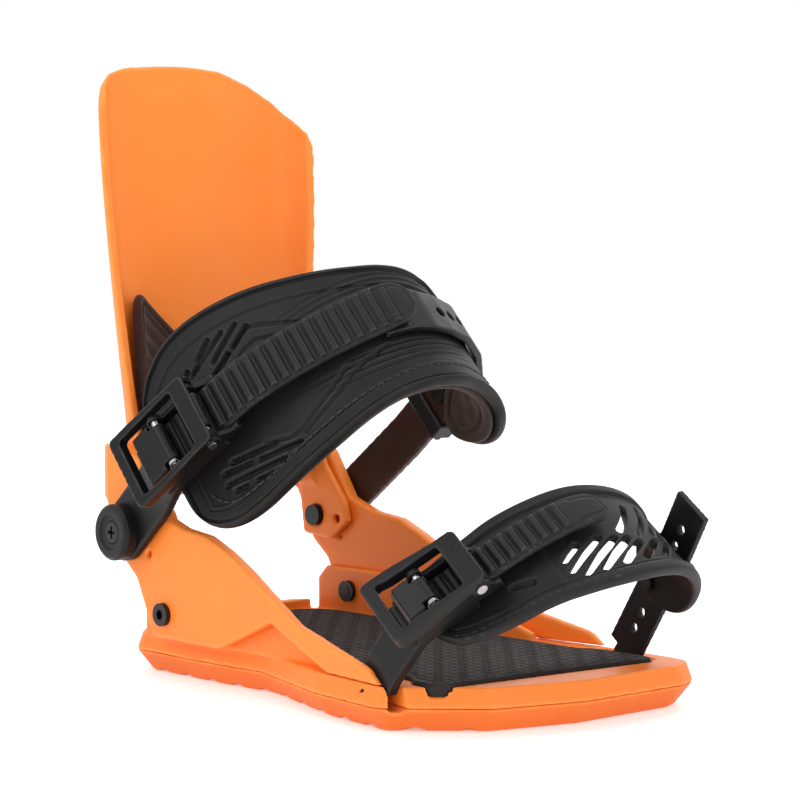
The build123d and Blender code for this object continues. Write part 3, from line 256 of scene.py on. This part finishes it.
for strap_name in ("ankle", "toe"):
    NODE_LOOK[strap_name + "_buckle_base"] = "black"
    NODE_LOOK[strap_name + "_buckle_lever"] = "gloss"
    NODE_LOOK[strap_name + "_release_tab"] = "gloss"
    NODE_LOOK[strap_name + "_buckle_pins"] = "rivet"
    NODE_LOOK[strap_name + "_buckle_springs"] = "rivet"

for node_name, obj in NODES.items():
    obj.data.materials.clear()
    obj.data.materials.append(LOOKS[NODE_LOOK[node_name]])


def soften(node_name, voxel, rounds, factor=0.5):
    """Rounds the edges of a moulded CAD node."""
    obj = NODES[node_name]
    remesh = obj.modifiers.new("remesh", "REMESH")
    remesh.mode = "VOXEL"
    remesh.voxel_size = voxel * MM
    remesh.use_smooth_shade = True
    smooth = obj.modifiers.new("smooth", "SMOOTH")
    smooth.factor = factor
    smooth.iterations = rounds


for node_name, voxel, rounds in (
    ("baseplate", 0.8, 5), ("base_sole", 0.8, 4), ("heelcup", 0.7, 12),
    ("ankle_arm_near", 0.6, 5), ("ankle_arm_far", 0.6, 5), ("toe_arm_near", 0.5, 4),
    ("ankle_connector", 0.5, 4), ("toe_adjuster", 0.4, 3), ("ankle_keeper", 0.5, 4),
    ("toe_slider", 0.4, 3),
    ("ankle_buckle_lever", 0.4, 14), ("toe_buckle_lever", 0.35, 13),
    ("ankle_buckle_base", 0.35, 3), ("toe_buckle_base", 0.35, 3),
    ("ankle_release_tab", 0.35, 8), ("toe_release_tab", 0.3, 8),
    ("highback", 0.7, 34), ("lean_block", 0.4, 4), ("mounting_disc", 0.6, 2), ("pivot_caps", 0.35, 3),
):
    soften(node_name, voxel, rounds)


# ---------------------------------------------------------------- mesh tools

def smooth_line(points, rounds=3):
    """Rounds the corners of an open line by cutting them again and again."""
    line = np.array(points, float)
    for _ in range(rounds):
        cut = [line[:1]]
        for start, end in zip(line[:-1], line[1:]):
            cut.append(np.array([start * 0.75 + end * 0.25, start * 0.25 + end * 0.75]))
        cut.append(line[-1:])
        line = np.concatenate(cut)
    return line


def knots(*pairs):
    """A smooth function of one length through (length, value) pairs."""
    line = smooth_line(pairs, 3)
    return lambda u: np.interp(u, line[:, 0], line[:, 1])


def step_up(value, low, high):
    """Rises smoothly from 0 at low to 1 at high."""
    t = np.clip((value - low) / (high - low), 0.0, 1.0)
    return t * t * (3 - 2 * t)


def spaced(low, high, step, edge=2.0, fine=0.25):
    """Samples that close up near both ends."""
    near = np.arange(0.0, edge, fine)
    middle = np.linspace(low + edge, high - edge, max(2, int((high - low - 2 * edge) / step)))
    return np.unique(np.concatenate([low + near, middle, high - near]))


def stroke(across, along, points, width, soft=0.7):
    """1 on a line drawn on a surface, 0 away from it."""
    best = np.full(across.shape, 1e9)
    for (x0, y0), (x1, y1) in zip(points[:-1], points[1:]):
        dx, dy = x1 - x0, y1 - y0
        t = np.clip(((across - x0) * dx + (along - y0) * dy) / (dx * dx + dy * dy + 1e-9), 0, 1)
        best = np.minimum(best, np.hypot(across - x0 - t * dx, along - y0 - t * dy))
    return 1 - step_up(best, width / 2 - soft / 2, width / 2 + soft / 2)


def add_mesh(name, points, faces, look, smooth=True):
    """A new object from points in millimetres."""
    mesh = bpy.data.meshes.new(name)
    mesh.from_pydata((np.array(points) * MM).tolist(), [], faces)
    mesh.validate()
    mesh.materials.append(LOOKS[look])
    mesh.polygons.foreach_set("use_smooth", [smooth] * len(mesh.polygons))
    mesh.update()
    made = bpy.data.objects.new(name, mesh)
    bpy.context.scene.collection.objects.link(made)
    return made


def weld(obj, distance=0.003):
    """Joins points that lie on each other and turns every face outward."""
    work = bmesh.new()
    work.from_mesh(obj.data)
    bmesh.ops.remove_doubles(work, verts=work.verts, dist=distance * MM)
    bmesh.ops.recalc_face_normals(work, faces=work.faces)
    work.to_mesh(obj.data)
    work.free()
    obj.data.polygons.foreach_set("use_smooth", [True] * len(obj.data.polygons))
    obj.data.update()
    return obj


def closed_sheet(name, place, us, low, high, thick, look, relief=None, step=0.8, edge=None, below=None):
    """A sheet with rounded edges between low(u) and high(u).

    place(u, w, out) gives points; relief and below(u, w, d) lift the outer and the inner face,
    where d is the distance from the nearest edge.
    """
    edge = thick / 2 if edge is None else edge
    lo, hi = low(us), high(us)
    widest = float(np.max(hi - lo))
    ring = spaced(0.0, widest, step, edge * 1.6, edge / 6) / widest
    u = np.repeat(us[:, None], len(ring), axis=1)
    w = lo[:, None] + (hi - lo)[:, None] * ring[None, :]
    aside = np.minimum(w - lo[:, None], hi[:, None] - w)
    ends = np.minimum(u - us[0], us[-1] - u)
    d = np.maximum(np.minimum(aside, ends), 0.0)

    def curve(x):
        t = 1 - np.clip(x / edge, 0, 1)
        return np.sqrt(np.clip(1 - t * t, 0, 1))

    full = curve(aside) * curve(ends)
    lift = relief(u, w, d) if relief is not None else 0.0
    drop = below(u, w, d) if below is not None else 0.0
    outer = place(u, w, (thick / 2 + lift) * full)
    inner = place(u, w, -(thick / 2 - drop) * full)
    rows, cols = u.shape
    index = np.arange(rows * cols).reshape(rows, cols)
    quads = np.stack([index[:-1, :-1], index[1:, :-1], index[1:, 1:], index[:-1, 1:]], axis=-1).reshape(-1, 4)
    points = np.concatenate([outer.reshape(-1, 3), inner.reshape(-1, 3)])
    faces = np.concatenate([quads, quads[:, ::-1] + rows * cols]).tolist()
    return weld(add_mesh(name, points, faces, look))


class Ribbon:
    """A strap's run: lengths u along it, w across it, and out of its face, in millimetres."""

    def __init__(self, frame_axes, points, rounds=3, step=0.5):
        self.origin, self.a, self.s, self.w = (np.array(v, float) for v in frame_axes)
        line = smooth_line(points, rounds)
        length = np.concatenate([[0.0], np.cumsum(np.hypot(*np.diff(line, axis=0).T))])
        self.length = float(length[-1])
        self.u = np.linspace(0.0, self.length, int(self.length / step))
        self.line = np.stack([np.interp(self.u, length, line[:, k]) for k in (0, 1)], axis=1)
        heading = np.gradient(self.line, axis=0)
        window = np.ones(9) / 9
        padded = np.pad(heading, ((4, 4), (0, 0)), mode="edge")
        heading = np.stack([np.convolve(padded[:, k], window, mode="valid") for k in (0, 1)], axis=1)
        heading /= np.linalg.norm(heading, axis=1)[:, None]
        self.normal = np.stack([-heading[:, 1], heading[:, 0]], axis=1)

    def __call__(self, u, w, out):
        a, s, na, ns = (np.interp(u, self.u, column) for column in (*self.line.T, *self.normal.T))
        a, s = a + na * out, s + ns * out
        return (
            self.origin
            + a[..., None] * self.a
            + s[..., None] * self.s
            + np.asarray(w)[..., None] * self.w
        )


def moved(obj, body, slot_name, *stands_for):
    """Ties a piece to a body and hides the CAD nodes it stands for; slot_name is not used."""
    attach(obj, body)
    if stands_for:
        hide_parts(*stands_for)
    return obj


def capsules(name, place, segments, radius, look, out=0.0, sides=8):
    """Short rounded bars on a surface, such as stitches: one mesh for them all."""
    points, faces = [], []
    for (u0, w0), (u1, w1) in segments:
        ends = place(np.array([u0, u1]), np.array([w0, w1]), np.array([out, out]))
        start, end = Vector(ends[0]), Vector(ends[1])
        along = (end - start).normalized()
        side = along.orthogonal().normalized()
        up = along.cross(side)
        base = len(points)
        for centre, shift, size in (
            (start, -0.3, 0.35), (start, 0.1, 0.85), (start, 0.6, 1.0),
            (end, -0.6, 1.0), (end, -0.1, 0.85), (end, 0.3, 0.35),
        ):
            for k in range(sides):
                turn = 2 * math.pi * k / sides
                around = side * math.cos(turn) + up * math.sin(turn)
                points.append(centre + along * radius * shift + around * radius * size)
        for ring in range(5):
            for k in range(sides):
                a = base + ring * sides + k
                b = base + ring * sides + (k + 1) % sides
                faces.append((a, b, b + sides, a + sides))
        faces.append(tuple(base + k for k in range(sides))[::-1])
        faces.append(tuple(base + 5 * sides + k for k in range(sides)))
    return add_mesh(name, [tuple(p) for p in points], faces, look)


def stitch_runs(line, length=2.6, gap=1.3):
    """Splits a smooth line on a surface into stitches."""
    path = smooth_line(line, 3)
    along = np.concatenate([[0.0], np.cumsum(np.hypot(*np.diff(path, axis=0).T))])
    runs, at = [], gap
    while at + length < along[-1]:
        ends = [
            (float(np.interp(t, along, path[:, 0])), float(np.interp(t, along, path[:, 1])))
            for t in (at, at + length)
        ]
        runs.append(tuple(ends))
        at += length + gap
    return runs


def cut(obj, cutter):
    """Takes the cutter's shape out of obj, then deletes the cutter."""
    modifier = obj.modifiers.new("cut", "BOOLEAN")
    modifier.object = cutter
    modifier.operation = "DIFFERENCE"
    modifier.solver = "EXACT"
    bpy.context.view_layer.update()
    evaluated = obj.evaluated_get(bpy.context.evaluated_depsgraph_get())
    mesh = bpy.data.meshes.new_from_object(evaluated)
    obj.modifiers.clear()
    obj.data = mesh
    obj.data.polygons.foreach_set("use_smooth", [True] * len(mesh.polygons))
    bpy.data.objects.remove(cutter)


def slots_cutter(place, slots, half_width, low, high):
    """Closed prisms with round ends, standing through a surface along each slot."""
    points, faces = [], []
    for line in slots:
        path = smooth_line(line, 2) if len(line) > 2 else np.array(line, float)
        heading = np.gradient(path, axis=0)
        heading /= np.linalg.norm(heading, axis=1)[:, None]
        side = np.stack([-heading[:, 1], heading[:, 0]], axis=1) * half_width
        outline = list(path + side)
        for k in range(1, 8):
            turn = math.pi * k / 8
            outline.append(path[-1] + side[-1] * math.cos(turn) + heading[-1] * half_width * math.sin(turn))
        outline += list((path - side)[::-1])
        for k in range(1, 8):
            turn = math.pi * k / 8
            outline.append(path[0] - side[0] * math.cos(turn) - heading[0] * half_width * math.sin(turn))
        outline = np.array(outline)
        base, count = len(points), len(outline)
        for out in (low, high):
            points += list(place(outline[:, 0], outline[:, 1], np.full(count, out)))
        faces.append(tuple(range(base + count - 1, base - 1, -1)))
        faces.append(tuple(range(base + count, base + 2 * count)))
        for k in range(count):
            m = (k + 1) % count
            faces.append((base + k, base + m, base + count + m, base + count + k))
    return weld(add_mesh("cutter", points, faces, "black", False), 0.0001)


def buckle_point(place, turn, along, out):
    """A point given along and out of a buckle, in its strap's own plane."""
    s, c = math.sin(math.radians(turn)), math.cos(math.radians(turn))
    return place[0] + s * along - c * out, place[1] + c * along + s * out


# ---------------------------------------------------------------- strap frames

RISE, TOE_RISE, TOE_SKEW = math.radians(41), math.radians(56), math.radians(10)
ANKLE_FRAME = (
    (-105, 0, 61), (0, 1, 0), (math.cos(RISE), 0, math.sin(RISE)), (math.sin(RISE), 0, -math.cos(RISE)),
)
TOE_FRAME = (
    (58.6, 0, 13.4),
    (math.sin(TOE_SKEW), math.cos(TOE_SKEW), 0),
    (math.cos(TOE_SKEW) * math.cos(TOE_RISE), -math.sin(TOE_SKEW) * math.cos(TOE_RISE), math.sin(TOE_RISE)),
    (math.cos(TOE_SKEW) * math.sin(TOE_RISE), -math.sin(TOE_SKEW) * math.sin(TOE_RISE), -math.cos(TOE_RISE)),
)
ANKLE_AT, ANKLE_TURN = (-61.485, 66.0), 13.0
TOE_AT, TOE_TURN = (-43.0, 45.0), 47.0
PAD_OUT = -5.2       # outer face of a pad, out from the middle of its buckle
LADDER_OUT = 3.35    # middle of a ladder, out from the middle of its buckle


# ---------------------------------------------------------------- ankle pad

ankle_face = Ribbon(ANKLE_FRAME, [
    buckle_point(ANKLE_AT, ANKLE_TURN, -60, PAD_OUT),
    buckle_point(ANKLE_AT, ANKLE_TURN, -15, PAD_OUT),
    buckle_point(ANKLE_AT, ANKLE_TURN, 16, PAD_OUT),
    (-42.5, 106.5), (-24.5, 130.5), (-5, 140.9), (10, 142), (22, 139.3), (36, 133.5),
    (49, 123.5), (57.4, 108), (60, 88), (58, 64), (50, 30),
])
ankle_top = knots(
    (38, -8), (38.6, -26), (41, -33), (45, -38), (51, -43), (62, -47.5), (76, -48), (91, -45.5),
    (109, -41), (126, -35), (142, -30), (156, -27), (175, -26), (190, -24.5), (197, -19),
    (200, -8), (203, -2), (212, 1), (225, 3), (238, 6), (247, 14), (250.5, 22),
)
ankle_low = knots(
    (38, 6), (38.4, 16), (40, 28), (45, 36.5), (56, 43), (69, 44.5), (78, 44), (106, 42), (124, 39),
    (141, 37), (155, 36.5), (170, 36.5), (184, 36), (205, 38), (216, 41.5), (229, 42.5), (239, 39),
    (247, 31), (250.5, 22),
)
UPPER_SLOTS = [[(74, -29), (82, -33)], [(68, -25), (89, -31.5)], [(80, -23), (96, -30.5)],
               [(91, -22.5), (100, -26.5)], [(76, -17), (87, -21.5)], [(62, -25), (67, -28)]]
LOWER_SLOTS = [[(59, 25), (88, 33)], [(78, 26), (97, 31.5)], [(73, 32.5), (81, 34.5)], [(62, 29.5), (67, 31)],
               [(66, 18.5), (87, 25)], [(60, 20), (73, 24)]]
UPPER_CHEVRON = [
    [(74, -14), (90, -22), (99, -26.5), (108, -22), (124, -12)],
    [(82, -12), (98, -20), (109, -15)],
]
LOWER_CHEVRON = [
    [(84, 22), (97, 28.5), (111, 23), (128, 14.5)],
    [(101, 29), (118, 23.5), (133, 16.5), (148, 13)],
]


def ankle_relief(u, w, d):
    """Raised rim, inner line, slots, chevrons and fanned ribs of the ankle pad."""
    lift = 1.1 * (1 - step_up(d, 2.2, 3.4))
    lift -= 0.9 * step_up(d, 2.3, 3.0) * (1 - step_up(d, 3.2, 4.2))
    lift -= 0.55 * step_up(d, 10.0, 11.0)
    upper = w < 0
    inner_line = np.where(upper, np.abs(d - 10.6), np.abs(d - 9.0))
    lift -= 0.55 * (1 - step_up(inner_line, 0.2, 0.75))
    for line in UPPER_SLOTS + LOWER_SLOTS:
        lift -= 2.6 * stroke(u, w, line, 2.3, 0.8)
    for line in UPPER_CHEVRON + LOWER_CHEVRON:
        lift -= 1.0 * stroke(u, w, smooth_line(line, 1), 1.5, 0.9)
    middle = step_up(u, 100, 118) * (1 - step_up(u, 176, 196))
    wave = 0.5 - 0.5 * np.cos(2 * np.pi * (np.abs(w) + 0.05 * (u - 150) ** 2 / 40) / 2.9)
    band = step_up(np.abs(w), 12.5, 14.0) * (1 - step_up(np.abs(w), 22.0, 24.0))
    fan = np.clip((u - 100) / 45, 0, 1)
    lift -= 0.8 * wave * middle * band * fan
    return lift


SHELL_T, LINER_T, LINER_DEPTH = 4.6, 3.4, 6.4
ankle_us = spaced(38.0, 250.5, 0.62, 5.0, 0.3)
ankle_shell = closed_sheet(
    "ankle_pad_shell", lambda u, w, out: ankle_face(u, w, out - SHELL_T / 2),
    ankle_us, ankle_top, ankle_low, SHELL_T, "pad", ankle_relief, 0.62, 2.2,
)
moved(ankle_shell, "ankle_strap", "pad_shell", "ankle_pad")


def liner_relief(u, w, d):
    """Quilted foam on the boot side: sewn channel near the rim and shallow cells."""
    cells = 0.5 + 0.5 * np.cos(2 * np.pi * u / 14) * np.cos(2 * np.pi * w / 14)
    return -(0.9 * (1 - step_up(np.abs(d - 6.0), 0.5, 1.6)) + 0.5 * cells * step_up(d, 8, 10))


ankle_liner = closed_sheet(
    "ankle_pad_liner", lambda u, w, out: ankle_face(u, w, out - LINER_DEPTH),
    spaced(39.5, 249.0, 0.9, 4.0, 0.4), lambda u: ankle_top(u) + 1.6, lambda u: ankle_low(u) - 1.6,
    LINER_T, "liner", None, 0.9, 1.7, lambda u, w, d: -liner_relief(u, w, d),
)
moved(ankle_liner, "ankle_strap", "pad_foam", "ankle_liner")

stitch_line = [
    (50, 22), (53, 28.5), (58, 33), (68, 35.2), (84, 35.4), (100, 33), (121, 30.2), (138, 28.4),
    (156, 27.6), (172, 27.6), (186, 27.4), (204, 29), (216, 32), (228, 33), (237, 30),
]
moved(
    capsules("ankle_stitches", ankle_face, stitch_runs(stitch_line), 0.32, "thread", 0.0),
    "ankle_strap", "pad_shell",
)


# ---------------------------------------------------------------- ladders

def ladder(name, axes, points, half, pitch, first, teeth, tip, look):
    """Toothed strap with a smooth rounded end."""
    run = Ribbon(axes, points)
    end = run.length

    def wide(u):
        past = np.clip(u - (end - tip), 0, tip) / tip
        rounded = np.sqrt(np.clip(1 - past ** 2, 0, 1))
        return half * (1 - 0.1 * step_up(u, end - 2.2 * tip, end)) * np.maximum(rounded, 0.02)

    def relief(u, w, d):
        phase = ((u - first) / pitch) % 1.0
        tooth = np.where(phase < 0.72, step_up(phase, 0.0, 0.5), 1 - step_up(phase, 0.72, 0.92))
        last = first + teeth * pitch
        inside = step_up(u, first, first + 0.6) * (1 - step_up(u, last - 0.6, last))
        flank = step_up(half - np.abs(w), 0.9, 2.0)
        lift = 1.55 * tooth * inside * flank
        lift += 0.35 * (1 - inside) * step_up(d, 1.6, 2.4)
        plain = step_up(u, end - 2.0 * tip, end - 1.9 * tip)
        return lift - 0.4 * plain * (1 - step_up(np.abs(d - 2.6), 0.25, 0.7))

    us = spaced(0.0, end, 0.3, 2.0, 0.15)
    return closed_sheet(name, run, us, lambda u: -wide(u), wide, 2.5, look, relief, 0.5, 1.0)


ankle_ladder = ladder(
    "ankle_ladder_strap", ANKLE_FRAME,
    [buckle_point(ANKLE_AT, ANKLE_TURN, -27, LADDER_OUT),
     buckle_point(ANKLE_AT, ANKLE_TURN, 27, LADDER_OUT),
     (-50.0, 107.5), (-37.0, 123.5), (-22.0, 137.0), (-9.0, 146.6), (0.0, 150.6)],
    11.0, 5.5, 2.0, 23, 9.5, "rubber",
)
moved(ankle_ladder, "ankle_strap", "black_plastic", "ankle_ladder")
toe_ladder = ladder(
    "toe_ladder_strap", TOE_FRAME,
    [buckle_point(TOE_AT, TOE_TURN, -23, LADDER_OUT), buckle_point(TOE_AT, TOE_TURN, 23, LADDER_OUT),
     (-17.5, 71.6), (-5.0, 79.0), (4.0, 82.0), (12.0, 82.9)],
    7.75, 4.5, 2.0, 16, 7.0, "rubber",
)
moved(toe_ladder, "toe_strap", "black_plastic", "toe_ladder")


# ---------------------------------------------------------------- toe pad

toe_face = Ribbon(TOE_FRAME, [
    buckle_point(TOE_AT, TOE_TURN, -50, PAD_OUT),
    buckle_point(TOE_AT, TOE_TURN, -13, PAD_OUT),
    buckle_point(TOE_AT, TOE_TURN, 10, PAD_OUT),
    (-19.3, 64.6), (-3.4, 74.4), (14, 78.4), (32.6, 75.9), (47.3, 68),
    (57.5, 54), (57.5, 35), (55, 10),
])
toe_top = knots(
    (37, -4), (37.4, -12), (40, -17), (46, -20), (56, -21.5), (75, -21), (86, -20), (97, -19.5),
    (109, -19.5), (123, -19), (139, -18.5), (155, -18), (168, -17), (178, -13), (184, -6), (187, 3),
)
toe_low = knots(
    (37, 3), (37.6, 7), (40, 12), (44, 17), (56, 21.5), (79, 27), (94, 31), (111, 33), (128, 31),
    (148, 27), (165, 24), (176, 22), (182, 18), (185.5, 11), (187, 3),
)
TOE_SLOTS = [
    [(91.3, 13.5), (98.3, 9.5)], [(91.3, 19), (108, 9.3)], [(95.3, 23), (114.4, 11)],
    [(102.4, 24), (120, 12)], [(111.4, 24), (124.4, 14.5)], [(121.4, 23), (134, 13)],
    [(119, 8), (127, 1), (131, -6)], [(127, 10.5), (136, 2), (141, -8)],
    [(136, 9), (143, 1), (148, -8)], [(132, 22), (143, 12)], [(142, 21), (152, 11)],
    [(146, 8), (152, 0), (156, -8)],
]
TOE_SHELL_T = 4.0


def toe_relief(u, w, d):
    """Raised rim, sewn line and sunk middle of the toe pad."""
    lift = 0.8 * (1 - step_up(d, 4.6, 5.4))
    lift -= 0.6 * (1 - step_up(np.abs(d - 5.8), 0.2, 0.8))
    zone = step_up(u, 86, 88) * (1 - step_up(u, 162, 164))
    lift -= 0.45 * zone * step_up(d, 6.4, 7.2)
    lift -= 1.4 * stroke(u, w, [(70.2, 10.8), (76.8, 14.2)], 2.6, 0.5)
    return lift


toe_pad = closed_sheet(
    "toe_pad_shell", lambda u, w, out: toe_face(u, w, out - TOE_SHELL_T / 2),
    spaced(37.0, 187.0, 0.6, 4.0, 0.3), toe_top, toe_low, TOE_SHELL_T, "pad", toe_relief, 0.6, 1.9,
)
cut(toe_pad, slots_cutter(toe_face, TOE_SLOTS, 1.6, -7.0, 4.0))
moved(toe_pad, "toe_strap", "pad_shell", "toe_pad")
toe_stitch = [
    (42, 11.5), (46, 15.5), (58, 18.6), (79, 23.9), (94, 27.8), (111, 29.8), (128, 27.8),
    (148, 23.8), (165, 20.8), (176, 18),
]
moved(
    capsules("toe_stitches", toe_face, stitch_runs(toe_stitch, 2.2, 1.2), 0.28, "thread", 0.62),
    "toe_strap", "pad_shell",
)


# ---------------------------------------------------------------- footbed

FOOTBED_TOP, FOOTBED_HALF, FOOTBED_WIDE, FOOTBED_T = 18.4, 46.6, 51.6, 5.0
bed_near = knots(
    (-104, -20), (-103.4, -34), (-98, -42), (-90, -46.4), (-80, -FOOTBED_HALF), (54, -FOOTBED_HALF),
    (58, -48), (62, -FOOTBED_WIDE), (68, -FOOTBED_WIDE), (73, -50), (76, -42), (79, -25), (82.5, 0),
    (86, 20), (89.5, 38), (91.5, 47),
)
bed_far = knots(
    (-104, 20), (-103.4, 34), (-98, 42), (-90, 46.4), (-80, FOOTBED_HALF), (54, FOOTBED_HALF),
    (58, 48), (62, FOOTBED_WIDE), (80, FOOTBED_WIDE), (88, FOOTBED_WIDE), (91.5, 50),
)


def tiles(x, y, d):
    """Interlocking bent tiles: zigzag grooves with short cuts between them."""
    p, q = (x + y) * 0.7071, (x - y) * 0.7071
    zig = np.abs((q / 7.0) % 1.0 - 0.5) * 2
    row = p / 4.6 + 0.85 * zig
    track = np.abs(row % 1.0 - 0.5)
    offset = np.floor(row) % 2 * 0.5
    brick = np.abs((q / 7.0 + offset) % 1.0 - 0.5)
    groove = np.maximum(1 - step_up(0.5 - track, 0.04, 0.15), 1 - step_up(0.5 - brick, 0.025, 0.09))
    cross = 1 - step_up(np.abs(brick - 0.2), 0.012, 0.05)
    inside = step_up(d, 1.6, 2.4)
    return -(0.95 * np.maximum(groove, 0.5 * cross)) * inside


footbed = closed_sheet(
    "footbed_tiles", lambda u, w, out: np.stack([u, w, FOOTBED_TOP - FOOTBED_T / 2 + out], axis=-1),
    spaced(-104.0, 91.5, 0.55, 3.0, 0.3), bed_near, bed_far, FOOTBED_T, "footbed", tiles, 0.55, 1.0,
)
moved(footbed, "base", "footbed_foam", "footbed")


# ---------------------------------------------------------------- highback pad

BACK_SLICES = np.array([
    # height, half width, x of the side edges, x of the rear face
    (66.0, 50.5, -99.0, -134.0),
    (104.0, 50.5, -112.0, -134.0),
    (165.0, 57.0, -117.0, -134.0),
    (221.0, 61.0, -120.5, -135.0),
])
BACK_FACE = 4.6      # front face of the shell, from its rear face
BOW = 7.3            # how sharply the shell's sides curl forward
back_low = knots(
    (-43.5, 96), (-43, 88), (-41, 84), (-30, 78), (-12, 76.4), (12, 76.4), (30, 78), (41, 84),
    (43, 88), (43.5, 96),
)
back_top = knots(
    (-43.5, 120), (-43.2, 142), (-42.4, 154), (-40.6, 161), (-38, 163), (-34.5, 160.5),
    (-19, 147.5), (-8, 138), (0, 134), (8, 133), (16, 134.5), (26, 140), (34, 152), (37.6, 160.5),
    (40, 162.5), (42.4, 156), (43.2, 142), (43.5, 120),
)


def back_place(y, z, out):
    """A point on the front of the highback, standing out of it by a length."""
    half, edge, rear = (np.interp(z, BACK_SLICES[:, 0], BACK_SLICES[:, k]) for k in (1, 2, 3))
    front = BACK_FACE + out
    t = np.clip(np.abs(y) / (half - front), 0.0, 1.0)
    return np.stack([rear + front + (edge - rear) * t ** BOW, y, z], axis=-1)


def back_relief(y, z, d):
    """A soft rim, a sewn channel and shallow ribs that follow the V."""
    channel = 1 - step_up(np.abs(d - 4.2), 0.3, 1.1)
    ribs = 0.5 + 0.5 * np.cos(2 * np.pi * (z - back_top(y)) / 7.5)
    return -0.7 * channel - 0.5 * ribs * step_up(d, 5.5, 7.5)


back_pad = closed_sheet(
    "highback_pad_foam", lambda y, z, out: back_place(y, z, out + 2.1),
    spaced(-43.5, 43.5, 0.8, 3.0, 0.3), back_low, back_top, 3.8, "back_foam", back_relief, 0.8, 1.7,
)
moved(back_pad, "highback", "pad_foam", "highback_pad")


# ---------------------------------------------------------------- room, light and camera

def stage_floor():
    """A wide pale floor just under the object."""
    mesh = bpy.data.meshes.new("floor")
    size = 4.0
    corners = [(-size, -size, 0), (size, -size, 0), (size, size, 0), (-size, size, 0)]
    mesh.from_pydata(corners, [], [(0, 1, 2, 3)])
    floor = bpy.data.objects.new("floor", mesh)
    floor.location.z = cad_box[0].z - 0.0002
    bpy.context.scene.collection.objects.link(floor)
    look = Look("pale_floor")
    look.set(Base_Color=(0.93, 0.93, 0.93), Roughness=0.6, Specular_IOR_Level=0.2)
    look.set(Emission_Color=(1.0, 1.0, 1.0), Emission_Strength=0.3)
    mesh.materials.append(look.material)


def softbox(name, place, target, width, height, power):
    """A white rectangular lamp that faces the target."""
    data = bpy.data.lights.new(name, "AREA")
    data.shape = "RECTANGLE"
    data.size = width
    data.size_y = height
    data.energy = power
    lamp = bpy.data.objects.new(name, data)
    lamp.location = place
    aim = Vector(target) - Vector(place)
    lamp.rotation_euler = aim.to_track_quat("-Z", "Y").to_euler()
    bpy.context.scene.collection.objects.link(lamp)


stage_floor()
MIDDLE = (-0.01, 0.0, 0.09)
softbox("key_left", (-0.25, -1.15, 0.95), MIDDLE, 0.8, 0.8, 4.2)
softbox("fill_front", (1.25, -0.35, 0.85), MIDDLE, 1.0, 0.9, 3.5)
softbox("top_light", (0.0, 0.1, 1.5), MIDDLE, 1.3, 1.3, 5.0)
softbox("rim_back", (-0.6, 1.1, 0.9), MIDDLE, 1.0, 0.8, 3.0)

world = bpy.data.worlds.new("studio")
bpy.context.scene.world = world
world.use_nodes = True
world.node_tree.nodes["Background"].inputs["Color"].default_value = (1.0, 1.0, 1.0, 1.0)
world.node_tree.nodes["Background"].inputs["Strength"].default_value = 1.0
bpy.context.scene.view_settings.view_transform = "Standard"

camera_data = bpy.data.cameras.new("camera")
camera_data.lens = 83.9
camera_data.sensor_width = 36.0
camera = bpy.data.objects.new("camera", camera_data)
camera.location = (0.5481, -0.5227, 0.1446)
TURN, PITCH = math.radians(46.3), math.radians(-2.0)
look_along = Vector((
    -math.sin(TURN) * math.cos(PITCH), math.cos(TURN) * math.cos(PITCH), math.sin(PITCH),
))
camera.rotation_euler = look_along.to_track_quat("-Z", "Y").to_euler()
camera_data.clip_start = 0.01
bpy.context.scene.collection.objects.link(camera)
bpy.context.scene.camera = camera
